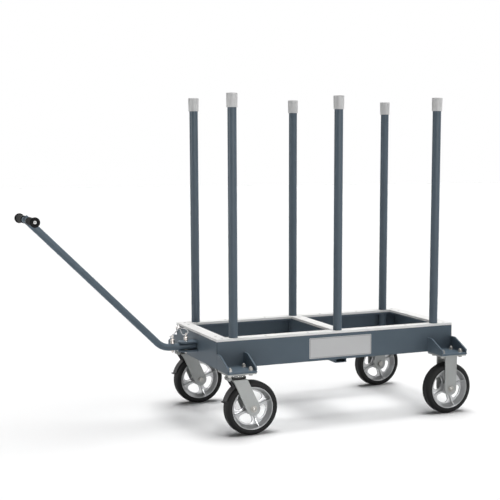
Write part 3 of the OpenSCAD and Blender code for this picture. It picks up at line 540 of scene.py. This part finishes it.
# Deck frame, in millimetres and read from the frame's boxes where they give a size
HALF_LENGTH, HALF_WIDTH, DECK_TOP = box_mm("deck_strips")[1]
RAIL_BOX = box_mm("side_rail_left")
RAIL_LOW, RAIL_TOP = RAIL_BOX[0].z, RAIL_BOX[1].z
INNER_Y = HALF_WIDTH - (RAIL_BOX[1].y - RAIL_BOX[0].y)
CROSS_LOW, CROSS_HIGH = (corner.x for corner in box_mm("cross_member"))
HITCH_BOX = box_mm("hitch_plates")
STEEL_T = 6.35
BRACKET_BOX = box_mm("caster_brackets")
BRACKET = BRACKET_BOX[1].y - HALF_WIDTH
GUSSET_TOP = BRACKET_BOX[1].z
BRACKET_TOP = RAIL_LOW + STEEL_T
CASTERS = [(end, side) for end in (-1, 1) for side in (-1, 1)]
CASTER_X = HALF_LENGTH - BRACKET / 2
CASTER_Y = HALF_WIDTH + BRACKET / 2

# Weld beads: how far their middles stand off the steel, and how far they stop short of its ends
BEAD_OUT = 0.6
THIN_BEAD_OUT = 0.4
GUSSET_BEAD_SHORT = 12
PLATE_BEAD_SHORT = 8
HITCH_BEAD_SHORT = 1
CROSS_BEAD_SHORT = (4, 5)
BEAD_SHORT = 2
RAIL_BEAD_R, BRACKET_BEAD_R, HITCH_BEAD_R, CROSS_BEAD_R, HANDLE_BEAD_R = 2.2, 2.0, 1.9, 1.8, 1.7


def rails():
    for node in ("side_rail_left", "side_rail_right", "end_rail_front", "end_rail_rear"):
        dress(node, paint, "frame", width=0.9, ending="painted")
    for node in ("cross_member", "under_channel", "hitch_plates", "handle_stub", "upright_spigots",
                 "caster_brackets"):
        dress(node, paint, "frame", width=0.7)


def frame_welds():
    """Beads at the gussets and plates of the brackets, at the hitch plates and at the cross member."""
    bm = bmesh.new()
    bead_z = BRACKET_TOP + BEAD_OUT
    for end, side in CASTERS:
        rail = side * HALF_WIDTH
        wall = rail + side * BEAD_OUT
        for edge in (-1, 1):
            inner = end * CASTER_X + edge * (BRACKET / 2 - STEEL_T - BEAD_OUT)
            weld(bm, [at(inner, wall, BRACKET_TOP + BEAD_SHORT), at(inner, wall, GUSSET_TOP - BEAD_SHORT)],
                 RAIL_BEAD_R)
            weld(bm, [at(inner, rail + side * BEAD_SHORT, bead_z),
                      at(inner, rail + side * (BRACKET - GUSSET_BEAD_SHORT), bead_z)], BRACKET_BEAD_R)
        half = BRACKET / 2 - PLATE_BEAD_SHORT
        weld(bm, [at(end * CASTER_X - half, wall, bead_z), at(end * CASTER_X + half, wall, bead_z)], RAIL_BEAD_R)
    hitch_x = -HALF_LENGTH - BEAD_OUT
    hitch_y = HITCH_BOX[1].y - HITCH_BEAD_SHORT
    for top in (HITCH_BOX[1].z, HITCH_BOX[0].z + STEEL_T):
        for z in (top + THIN_BEAD_OUT, top - STEEL_T - THIN_BEAD_OUT):
            weld(bm, [at(hitch_x, -hitch_y, z), at(hitch_x, hitch_y, z)], HITCH_BEAD_R)
    for side in (-1, 1):
        y = side * (INNER_Y - THIN_BEAD_OUT)
        for x in (CROSS_LOW - THIN_BEAD_OUT, CROSS_HIGH + THIN_BEAD_OUT):
            weld(bm, [at(x, y, RAIL_LOW + CROSS_BEAD_SHORT[0]), at(x, y, RAIL_TOP - CROSS_BEAD_SHORT[1])],
                 CROSS_BEAD_R)
    finish_mesh("frame_welds", bm, paint, "frame")


def corner_gap_painted_shade():
    """A thin near-black strip at each corner where the end rail meets the side rail: painted shade standing in for
    the narrow gap there.
    """
    bm = bmesh.new()
    inset, proud, short = 1.3, 0.05, 1.5
    for end, side in CASTERS:
        x, y = end * (HALF_LENGTH - inset), side * (HALF_WIDTH + proud)
        block(bm, at(x, y, RAIL_LOW + short), at(x, y, RAIL_TOP - short), ALONG, 0.7, ACROSS, 0.25)
    finish_mesh("corner_gap_painted_shade", bm, seam_shade, "frame")


rails()
frame_welds()
corner_gap_painted_shade()


# Wear strips and their screws
END_STRIP_WIDTH = 48.5
BUTT_GAP = 0.3
SCREW_INSET = 28
SCREW_PITCH = 176
END_SCREW_INSET = 35
SCREW_XS = [end * (HALF_LENGTH - SCREW_INSET - n * SCREW_PITCH) for end in (-1, 1) for n in range(3)]
SCREW_PLACES = ([(x, side * (HALF_WIDTH + INNER_Y) / 2) for x in SCREW_XS for side in (-1, 1)]
                + [(x, side * (INNER_Y - END_SCREW_INSET))
                   for x in (END_STRIP_WIDTH / 2 - HALF_LENGTH, HALF_LENGTH - END_STRIP_WIDTH / 2,
                             (CROSS_LOW + CROSS_HIGH) / 2) for side in (-1, 1)])
UPRIGHTS = ["upright_%s_%s" % (end, name) for end in ("front", "middle", "rear") for side, name in SIDES]
UPRIGHT_PLACES = [middle_mm(node).xy for node in UPRIGHTS]
UPRIGHT_HOLE_R = 17.1
SCREW_HOLE_R = 5.6
SCREW_HEAD_R = 5.3
SCREW_SUNK = 0.1
RECESS_TAPER = 0.62


def strips():
    """The wear strips, with their holes for the uprights and the screws."""
    end_x, end_y = HALF_LENGTH - END_STRIP_WIDTH, INNER_Y - BUTT_GAP
    boxes = [(-HALF_LENGTH, HALF_LENGTH, -HALF_WIDTH, -INNER_Y), (-HALF_LENGTH, HALF_LENGTH, INNER_Y, HALF_WIDTH),
             (-HALF_LENGTH, -end_x, -end_y, end_y), (end_x, HALF_LENGTH, -end_y, end_y),
             (CROSS_LOW, CROSS_HIGH, -end_y, end_y)]
    place = Matrix.Translation(at(0, 0, (RAIL_TOP + DECK_TOP) / 2))
    bm = bmesh.new()
    for low_x, high_x, low_y, high_y in boxes:
        outlines = [[(low_x, low_y), (high_x, low_y), (high_x, high_y), (low_x, high_y)]]
        for places, radius, steps in ((UPRIGHT_PLACES, UPRIGHT_HOLE_R, 48), (SCREW_PLACES, SCREW_HOLE_R, 24)):
            outlines += [circle((x, y), radius, steps) for x, y in places
                         if low_x < x < high_x and low_y < y < high_y]
        plate(bm, outlines, DECK_TOP - RAIL_TOP, 0.7, place)
    finish_mesh("wear_strips", bm, strip_plastic, "frame", ["deck_strips"])


def cross_head(bm, place, radius, arm, half_arm, depth):
    """A flat countersunk screw head; arm is how far its cross recess reaches, half_arm is half an arm's width."""
    outer, edge, floor = [], [], []
    corner, corner_reach = math.atan2(half_arm, arm), math.hypot(arm, half_arm)
    quarter = ((-corner, corner_reach), (0, arm), (corner, corner_reach),
               (math.pi / 4, math.hypot(half_arm, half_arm)))
    for n in range(4):
        for angle, reach in quarter:
            t = n * math.pi / 2 + angle
            way = Vector((math.cos(t), math.sin(t), 0))
            outer.append(bm.verts.new(place + way * radius * MM))
            edge.append(bm.verts.new(place + way * reach * MM))
            floor.append(bm.verts.new(place + (way * reach * RECESS_TAPER - UP * depth) * MM))
    rim = [bm.verts.new(v.co - UP * 0.8 * MM + (v.co - place).normalized() * 0.1 * MM) for v in outer]
    bridge(bm, [rim, outer, edge, floor])
    bm.faces.new(list(reversed(rim)))
    centre = bm.verts.new(place - UP * depth * MM)
    for k in range(len(floor)):
        bm.faces.new((floor[k], floor[(k + 1) % len(floor)], centre))


def screws():
    bm = bmesh.new()
    for x, y in SCREW_PLACES:
        cross_head(bm, at(x, y, DECK_TOP - SCREW_SUNK), SCREW_HEAD_R, arm=3.4, half_arm=0.7, depth=1.6)
    finish_mesh("strip_screw_heads", bm, screw_steel, "frame", ["strip_screws"], sharp=25,
                weighted=False)


strips()
screws()


# Caster bolts and the side plate
BOLT_OUT_X = 40.5
BOLT_OUT_Y = 33.35
BOLT_WASHER_T = 1.6
BOLT_NUT_T = 8
CASTER_PLATE_T = 6.4
PLATE_BORDER = 2.2


def caster_bolts():
    """Bolts through brackets and caster plates: a washer, a nut and the thread above, a flanged head below."""
    bm = bmesh.new()
    for end, side in CASTERS:
        for step_x in (-1, 1):
            for step_y in (-1, 1):
                x, y = end * CASTER_X + step_x * BOLT_OUT_X, side * CASTER_Y + step_y * BOLT_OUT_Y
                nut_low = BRACKET_TOP + BOLT_WASHER_T
                washer(bm, at(x, y, BRACKET_TOP), "Z", 1, radius=9.6, bore=5, height=BOLT_WASHER_T)
                hex_nut(bm, at(x, y, nut_low), "Z", 1, corners=16.4, height=BOLT_NUT_T)
                thread(bm, at(x, y, nut_low + BOLT_NUT_T), "Z", 1, radius=4.7, length=4.4)
                low = RAIL_LOW - CASTER_PLATE_T
                lathe(bm, [(0, 0), (9.4, 0), (9.2, -1.2), (7.8, -1.8), (0, -1.8)], at(x, y, low), "Z", 40, False)
                hex_nut(bm, at(x, y, low - BOLT_WASHER_T), "Z", -1, corners=16, height=5)
    finish_mesh("caster_bolt_sets", bm, bolt_steel, "frame", ["caster_bolts"], sharp=30,
                weighted=False)


def side_plate():
    """The plain plate on the near side rail, and the thin raised border on it."""
    low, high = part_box("data_plate")
    centre = (low + high) / 2
    half_x, half_z = (high.x - low.x) / 2 / MM, (high.z - low.z) / 2 / MM

    def outline(inset, corner):
        return round_box_outline(inset - half_x, half_x - inset, inset - half_z, half_z - inset, corner)

    def stand(place):
        return Matrix.Translation(place) @ Matrix.Rotation(math.pi / 2, 4, "X")

    bm = bmesh.new()
    plate(bm, [outline(0, 4)], 0.5, 0.12, stand(centre))
    finish_mesh("side_plate", bm, plate_face, "frame", ["data_plate"])
    bm = bmesh.new()
    plate(bm, [outline(PLATE_BORDER, 3), outline(2 * PLATE_BORDER, 2)], 0.24, 0.05,
          stand(Vector((centre.x, low.y + 0.2 * MM, centre.z))))
    finish_mesh("side_plate_border", bm, plate_edge, "frame")


caster_bolts()
side_plate()


# Tow handle and grips
BAR = middle_mm("handle_plugs")
PIPE_R = 13.5
BAR_R = 11.3
GRIP_RIBS = 12
GRIP_RIB_PITCH = 6.8
GRIP_FIRST_RIB = 8


def handle_weld():
    """The bead where the cross bar meets the sloping pipe."""
    bm = bmesh.new()
    slope = Vector((math.cos(math.radians(45)), 0, -math.sin(math.radians(45))))
    up = Vector((slope.z, 0, -slope.x))
    points = []
    steps = 48
    for k in range(steps + 1):
        t = TURN * k / steps
        sideways = PIPE_R * math.cos(t)
        high = PIPE_R * math.sin(t)
        along = math.sqrt(BAR_R ** 2 - min(BAR_R, abs(high)) ** 2)
        points.append(at(BAR.x, 0, BAR.z) + (ACROSS * sideways + up * high + slope * along) * MM)
    weld(bm, points, HANDLE_BEAD_R)
    finish_mesh("handle_weld", bm, paint, "frame")


def grip(side, name):
    """A ribbed sleeve with a flange at its outer end, drawn from the inner end outwards."""
    low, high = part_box("grip_" + name)
    outer = (low.y if side < 0 else high.y) / MM
    length = (high.y - low.y) / MM
    profile = [(11.2, 0), (13.4, 0), (14.0, 0.8), (13.9, 4)]
    for k in range(GRIP_RIBS):
        y = GRIP_FIRST_RIB + k * GRIP_RIB_PITCH
        profile += [(13.85, y - 1.4), (14.0, y - 0.6), (14.0, y + 2.2), (13.55, y + 3), (13.55, y + 3.6)]
    profile += [(r, length - back) for r, back in (
        (13.9, 9), (14.3, 7), (16.6, 5.2), (17.9, 4), (18.25, 2.6), (17.9, 1.1), (16.8, 0.3), (15.2, 0),
        (12.6, 0.5), (11.8, 1.6), (8.4, 1.8), (7.4, 1.2), (6.3, 1), (6.2, 4), (11.2, 4.6))]
    bm = bmesh.new()
    lathe(bm, [(r, side * y) for r, y in profile], at(BAR.x, outer - side * length, BAR.z), "Y", 72)
    finish_mesh("grip_%s_rubber" % name, bm, grip_rubber, "frame", ["grip_" + name],
                weighted=False)


def grip_plugs():
    """The pale plugs in the bar's ends, each with a thin black strip on its face: painted shade standing in for a
    slot.
    """
    low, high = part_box("handle_plugs")
    ends = [(side, (low.y if side < 0 else high.y) / MM) for side in (-1, 1)]
    bm = bmesh.new()
    for side, y in ends:
        lathe(bm, [(0, 0), (1, 0), (4.6, side * -0.2), (5.6, side * -0.9), (5.9, side * -2), (5.9, side * -6),
                   (0, side * -6)], at(BAR.x, y, BAR.z), "Y", 48, False)
    finish_mesh("grip_plugs", bm, plug_plastic, "frame", ["handle_plugs"])
    # Thin black strips on the plug faces: painted shade standing in for the slots.
    bm = bmesh.new()
    half_slot = ALONG * 4.4 * MM
    for side, y in ends:
        face = at(BAR.x, y + side * 0.05, BAR.z)
        block(bm, face - half_slot, face + half_slot, ACROSS, 0.25, UP, 0.55)
    finish_mesh("grip_plug_slot_painted_shade", bm, black_enamel, "frame")


dress("tow_handle", paint, "frame", width=0.4)
handle_weld()
for side, name in SIDES:
    grip(side, name)
grip_plugs()


# Hitch pins and the tab that holds their lanyards
HEAD_H = 17
SHANK_R = 4.7
RING_R = 7
CRIMP_OUTS = (8, 15)
CRIMP_YS = (168.5, 173, 177.5)
CRIMP_R = 2.75
CRIMP_WIRE_R = 0.35
TAB_BOLT = (7, 192)
WIRE_APART = 3.8
TAB_Z = 338


def hitch_pin(end, out, seat):
    """A pin that hangs by its barrel head on a seat, with a ring through the head's top."""
    name = "hitch_pin_" + end
    low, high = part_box(name)
    x = -HALF_LENGTH - out
    r = (high.x - low.x) / 2 / MM
    tip = low.z / MM
    top = seat + HEAD_H
    bm = bmesh.new()
    lathe(bm, [(0, tip), (2.6, tip), (SHANK_R, tip + 3), (SHANK_R, seat), (r - 0.8, seat), (r, seat + 0.8),
               (r, seat + 4.4), (r - 0.7, seat + 4.9), (r - 0.7, seat + 5.5), (r, seat + 6), (r, top - 2),
               (r - 1.8, top), (0, top)], at(x, 0, 0), "Z", 64, False)
    ring(bm, at(x, 0, top + RING_R - 0.5), "X", RING_R, 1.45)
    finish_mesh(name + "_steel", bm, pin_steel, name, [name], sharp=34)


def anchor():
    """The angle tab, its bolt and the crimped sleeves that hold the lanyards' ends."""
    bm = node_mesh("lanyard_anchor")
    soften(bm, 0.5)
    for out in CRIMP_OUTS:
        for y in CRIMP_YS:
            for z in (TAB_Z - WIRE_APART / 2, TAB_Z + WIRE_APART / 2):
                ring(bm, at(-HALF_LENGTH - out, y, z), "Y", CRIMP_R, CRIMP_WIRE_R, segments=24, sides=8)
    hex_nut(bm, at(-HALF_LENGTH - TAB_BOLT[0], TAB_BOLT[1], TAB_Z), "X", -1, corners=9, height=1.4)
    finish_mesh("lanyard_anchor_steel", bm, bright_steel, "frame", ["lanyard_anchor"])


hitch_pin("rear", out=40, seat=HITCH_BOX[1].z)
hitch_pin("front", out=94, seat=HITCH_BOX[1].z - STEEL_T)
anchor()


# Uprights and caps
CAP_BORE_R = 16.75
CAP_ROUND = 2.5


def upright_cap(node, body):
    low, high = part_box(node)
    foot, top = low.z / MM, high.z / MM
    r = (high.x - low.x) / 2 / MM
    profile = [(CAP_BORE_R, foot), (r - 1.4, foot), (r - 0.9, foot + 0.5), (r - 0.75, foot + 3.6),
               (r - 1.1, foot + 4.3), (r - 1.05, foot + 5), (r, top - CAP_ROUND - 0.1)]
    profile += [(r - CAP_ROUND + CAP_ROUND * math.cos(t), top - CAP_ROUND - 0.1 + CAP_ROUND * math.sin(t))
                for t in (math.radians(a) for a in (22, 45, 68, 88))]
    profile += [(r - 6, top - 0.05), (0, top), (0, top - 4), (CAP_BORE_R, top - 4.2)]
    centre = middle(node)
    bm = bmesh.new()
    lathe(bm, profile, Vector((centre.x, centre.y, 0)), "Z", 72)
    finish_mesh(node + "_moulded", bm, cap_plastic, body, [node], sharp=30)


for upright in UPRIGHTS:
    dress(upright, paint, upright, width=0.5)
    upright_cap(upright.replace("upright", "cap"), upright)


# Casters
WHEEL_R = middle_mm("tyre_rear_left").z
FRONT_AXLE_X = middle_mm("tyre_front_left").x
LEG_OUTER = 33.5
AXLE_R = 6.3
DARK_RING_LOW, DARK_RING_TOP = 215, 221.8
DARK_RING_EDGE = 0.6
SPOKES = 4
SPOKE_ANGLE = 20
SPOKE_WIDTH = 22
BOSS_R = 21
BOSS_BORE_R = 16
RIM_R = 80.3
HALF_RIM = 24
HALF_WEB = 3.5
DISC_R = 66.3
WINDOW_REACH = 62
WINDOW_R = 13
WINDOW_INNER_R = 7
WINDOW_INNER_OUT = 13
RIB_TOPS = ((BOSS_R - 2, 9), (40, 8.5), (60, 12), (RIM_R - 3.6, 22))
RIB_HALF_WIDTHS = (2.6, 2.2, 1.5, 0.9)
TYRE_SHOULDER = 14
TYRE_GROOVES = ((52, 60), (24, 30))
GROOVE_DEPTH = 0.55


def axle(name, node, places, body):
    """Axle bolts with a head on the inner side and a threaded nut on the outer side."""
    bm = bmesh.new()
    for x, y, side in places:
        centre = at(x, y, WHEEL_R)
        outwards = ACROSS * side * MM
        half = LEG_OUTER + 1
        lathe(bm, [(0, -half), (AXLE_R, -half), (AXLE_R, half), (0, half)], centre, "Y", 40, False)
        outer = centre + outwards * LEG_OUTER
        washer(bm, outer, "Y", side, radius=13.4, bore=6.5, height=1.8)
        hex_nut(bm, outer + outwards * 1.8, "Y", side, corners=21.2, height=6)
        lathe(bm, [(6.4, 0), (8.6, 0), (8.3, side * 1.6), (7.3, side * 2.1), (6.4, side * 2)],
              outer + outwards * 7.8, "Y", 40)
        thread(bm, outer + outwards * 6, "Y", side, radius=5.6, length=3.2, pitch=1.6)
        hex_nut(bm, centre - outwards * LEG_OUTER, "Y", -side, corners=21.2, height=8)
    finish_mesh(name, bm, bolt_steel, body, [node], sharp=30, weighted=False)


def dark_race_ring(side, name):
    """A near-black ring between a swivel caster's races."""
    bm = bmesh.new()
    lathe(bm, [(31.1, DARK_RING_LOW), (32.4, DARK_RING_LOW), (32.8, DARK_RING_LOW + DARK_RING_EDGE), (32.8, DARK_RING_TOP - DARK_RING_EDGE),
               (32.4, DARK_RING_TOP), (31.1, DARK_RING_TOP)], at(-CASTER_X, side * CASTER_Y, 0), "Z")
    finish_mesh("dark_race_ring_" + name, bm, dark_race_ring_finish, "swivel_" + name)


def polar(r, degrees):
    return (r * math.cos(math.radians(degrees)), r * math.sin(math.radians(degrees)))


def mirrored(half):
    """A profile of (radius, along) and its mirror image, in one round."""
    return half + [(r, -y) for r, y in reversed(half)]


def window_outline(turn):
    """One window: an arc outside, round corners and edges along the spokes."""
    spoke_at = 180 / SPOKES
    outer_mid_r = WINDOW_REACH - WINDOW_R
    inner_mid_r = BOSS_R + WINDOW_INNER_OUT
    outer_at = spoke_at - math.degrees(math.asin((SPOKE_WIDTH / 2 + WINDOW_R) / outer_mid_r))
    inner_at = spoke_at - math.degrees(math.asin((SPOKE_WIDTH / 2 + WINDOW_INNER_R) / inner_mid_r))
    points = arc((0, 0), WINDOW_REACH, -outer_at, outer_at, 10)
    points += arc(polar(outer_mid_r, outer_at), WINDOW_R, outer_at, spoke_at + 90, 10)[1:]
    points += arc(polar(inner_mid_r, inner_at), WINDOW_INNER_R, spoke_at + 90, 180, 5)
    points += arc(polar(inner_mid_r, -inner_at), WINDOW_INNER_R, 180, 270 - spoke_at, 5)
    points += arc(polar(outer_mid_r, -outer_at), WINDOW_R, 270 - spoke_at, 360 - outer_at, 10)[:-1]
    c, s = polar(1, turn)
    return [(x * c - y * s, x * s + y * c) for x, y in points]


def rib(bm, centre, out, sideways, up):
    """A tapered rib along a spoke, on one face of the web."""
    rings = []
    for r, top in RIB_TOPS:
        half = list(zip(RIB_HALF_WIDTHS, (HALF_WEB - 1, HALF_WEB + 1, top - 0.7, top)))
        rings.append([bm.verts.new(centre + (out * r + sideways * width + up * level) * MM)
                      for width, level in half + [(-w, level) for w, level in reversed(half)]])
    bridge(bm, rings)
    bm.faces.new(rings[0])
    bm.faces.new(rings[-1])


def hub(node, body):
    """A wheel's rim, its web with four windows, a rib on each spoke and the boss."""
    centre = middle(node)
    bm = bmesh.new()
    lathe(bm, mirrored([(DISC_R, HALF_WEB), (DISC_R + 0.9, HALF_WEB + 1.2), (76.9, HALF_RIM - 2.4),
                        (77.5, HALF_RIM - 0.6), (78.2, HALF_RIM), (79.7, HALF_RIM), (RIM_R, HALF_RIM - 0.6)]),
          centre, "Y", 128)
    outlines = [circle((0, 0), DISC_R + 1.5, 120)]
    outlines += [window_outline(SPOKE_ANGLE + (n + 0.5) * 360 / SPOKES) for n in range(SPOKES)]
    plate(bm, outlines, 2 * HALF_WEB, 0.9, Matrix.Translation(centre) @ Matrix.Rotation(math.pi / 2, 4, "X"))
    for n in range(SPOKES):
        c, s = polar(1, SPOKE_ANGLE + n * 360 / SPOKES)
        for face in (-1, 1):
            rib(bm, centre, Vector((c, 0, s)), Vector((-s, 0, c)), ACROSS * face)
    lathe(bm, mirrored([(15.1, 26.6), (BOSS_BORE_R, 27.6), (18.2, 27.6), (19, 26.8), (19.6, 18),
                        (BOSS_R, HALF_WEB + 2), (BOSS_R + 1.6, HALF_WEB - 0.6)]), centre, "Y", 96)
    finish_mesh(node + "_cast", bm, aluminium, body, [node], sharp=32, weighted=False)


def tyre(node, body):
    """A tyre with round shoulders and two shallow grooves on each."""
    low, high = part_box(node)
    half = (high.y - low.y) / 2 / MM
    mid_r, mid_y = WHEEL_R - TYRE_SHOULDER, half - TYRE_SHOULDER
    profile = [(RIM_R, half - 1.6), (RIM_R + 0.8, half - 0.3), (RIM_R + 1.8, half), (mid_r - 1.6, half)]
    for degrees in range(88, 0, -8):
        sunk = GROOVE_DEPTH if any(start < degrees < end for start, end in TYRE_GROOVES) else 0
        t = math.radians(degrees)
        profile.append((mid_r + (TYRE_SHOULDER - sunk) * math.cos(t), mid_y + (TYRE_SHOULDER - sunk) * math.sin(t)))
    profile += [(WHEEL_R, mid_y * share) for share in (1, 4 / 6, 2 / 6)]
    bm = bmesh.new()
    lathe(bm, mirrored(profile), middle(node), "Y", 144)
    finish_mesh(node + "_rubber", bm, tyre_rubber, body, [node], sharp=50, weighted=False)


def bearing(node, body):
    bm = bmesh.new()
    lathe(bm, mirrored([(6.45, 27.4), (9.2, 27.6), (9.4, 27.1), (13.4, 27.1), (13.6, 27.6), (15, 27.4)]),
          middle(node), "Y", 64)
    finish_mesh(node + "_steel", bm, bright_steel, body, [node])


for part in ("rigid_fork_left", "rigid_fork_right", "swivel_top_plates"):
    dress(part, galvanised, "frame", width=1.0)
dress("kingpins", plated, "frame", width=0.5)
dress("ball_races", bright_steel, "frame", width=0.1, angle=80)
axle("rigid_axle_bolts", "rigid_axles", [(CASTER_X, side * CASTER_Y, side) for side in (-1, 1)], "frame")
for side, name in SIDES:
    swivel = "swivel_" + name
    dress("swivel_fork_" + name, galvanised, swivel, width=0.9)
    dark_race_ring(side, name)
    axle("swivel_axle_bolt_" + name, "swivel_axle_" + name, [(FRONT_AXLE_X, side * CASTER_Y, side)], swivel)
    dress("brake_lever_" + name, black_enamel, "brake_" + name, width=0.5)
    for end in ("front", "rear"):
        wheel = "%s_wheel_%s" % (end, name)
        hub("hub_%s_%s" % (end, name), wheel)
        tyre("tyre_%s_%s" % (end, name), wheel)
        bearing("bearing_%s_%s" % (end, name), wheel)


# Floor, world and lamps; sizes here are in metres
FLOOR_HALF = 30
FLOOR_COLOUR = (0.96, 0.96, 0.96, 1)
WHITE = (1, 1, 1, 1)
FLOOR_GLOW = 0.01
SKY = 0.025
BAND_WIDTH = 0.8
BAND_HEIGHT = 3.5
BAND_ENERGY = 480
BAND_AWAY = 6
BAND_Z = 1.2


def maths(nodes, links, operation, first, second):
    """A Math node over two values, each a socket or a number."""
    node = nodes.new("ShaderNodeMath")
    node.operation = operation
    for socket, value in zip(node.inputs, (first, second)):
        if isinstance(value, (int, float)):
            socket.default_value = value
        else:
            links.new(value, socket)
    return node.outputs[0]


def seen_directly(nodes, links, strength):
    """A strength for camera, glossy and transmission rays, and none for the rest."""
    path = nodes.new("ShaderNodeLightPath").outputs
    direct = maths(nodes, links, "MAXIMUM", path["Is Camera Ray"], path["Is Glossy Ray"])
    direct = maths(nodes, links, "MAXIMUM", direct, path["Is Transmission Ray"])
    return maths(nodes, links, "MULTIPLY", direct, strength)


def make_floor():
    bm = bmesh.new()
    corners = ((-1, -1), (1, -1), (1, 1), (-1, 1))
    bm.faces.new([bm.verts.new((x * FLOOR_HALF, y * FLOOR_HALF, 0)) for x, y in corners])
    mesh = bpy.data.meshes.new("floor")
    bm.to_mesh(mesh)
    bm.free()
    floor = bpy.data.objects.new("floor", mesh)
    scene.collection.objects.link(floor)
    material, nodes, links = new_material("white_floor")
    nodes.remove(nodes["Principled BSDF"])
    diffuse = nodes.new("ShaderNodeBsdfDiffuse")
    diffuse.inputs["Color"].default_value = FLOOR_COLOUR
    glow = nodes.new("ShaderNodeEmission")
    glow.inputs["Color"].default_value = WHITE
    links.new(seen_directly(nodes, links, FLOOR_GLOW), glow.inputs["Strength"])
    both = nodes.new("ShaderNodeAddShader")
    links.new(diffuse.outputs[0], both.inputs[0])
    links.new(glow.outputs[0], both.inputs[1])
    links.new(both.outputs[0], nodes["Material Output"].inputs["Surface"])
    mesh.materials.append(material)


def make_world():
    """White where it is seen or mirrored, and a faint sky for the rest."""
    world = bpy.data.worlds.new("studio")
    scene.world = world
    world.use_nodes = True
    nodes, links = world.node_tree.nodes, world.node_tree.links
    background = nodes["Background"]
    background.inputs["Color"].default_value = WHITE
    total = maths(nodes, links, "ADD", seen_directly(nodes, links, 1 - SKY), SKY)
    links.new(total, background.inputs["Strength"])


def sun(name, toward, strength, spread_deg):
    data = bpy.data.lights.new(name, "SUN")
    data.energy = strength
    data.angle = math.radians(spread_deg)
    light = bpy.data.objects.new(name, data)
    light.rotation_euler = Vector(toward).to_track_quat("Z", "Y").to_euler()
    scene.collection.objects.link(light)


def gloss_band(name, toward):
    """A tall narrow lamp that only shows as a reflection."""
    data = bpy.data.lights.new(name, "AREA")
    data.shape = "RECTANGLE"
    data.size = BAND_WIDTH
    data.size_y = BAND_HEIGHT
    data.energy = BAND_ENERGY
    light = bpy.data.objects.new(name, data)
    away = Vector(toward).normalized()
    light.location = away * BAND_AWAY + UP * BAND_Z
    light.rotation_euler = away.to_track_quat("Z", "Y").to_euler()
    light.visible_diffuse = False
    light.visible_camera = False
    scene.collection.objects.link(light)


make_floor()
make_world()
sun("overhead", toward=(0.08, 0.04, 1), strength=2.9, spread_deg=42)
sun("side", toward=(0.86, -0.3, 0.4), strength=0.7, spread_deg=40)
sun("front", toward=(0.12, -1, 0.2), strength=0.42, spread_deg=70)
gloss_band("band_right", toward=(0.08, -0.997, 0))
gloss_band("band_left", toward=(-1, 0, 0))
scene.view_settings.view_transform = "Standard"
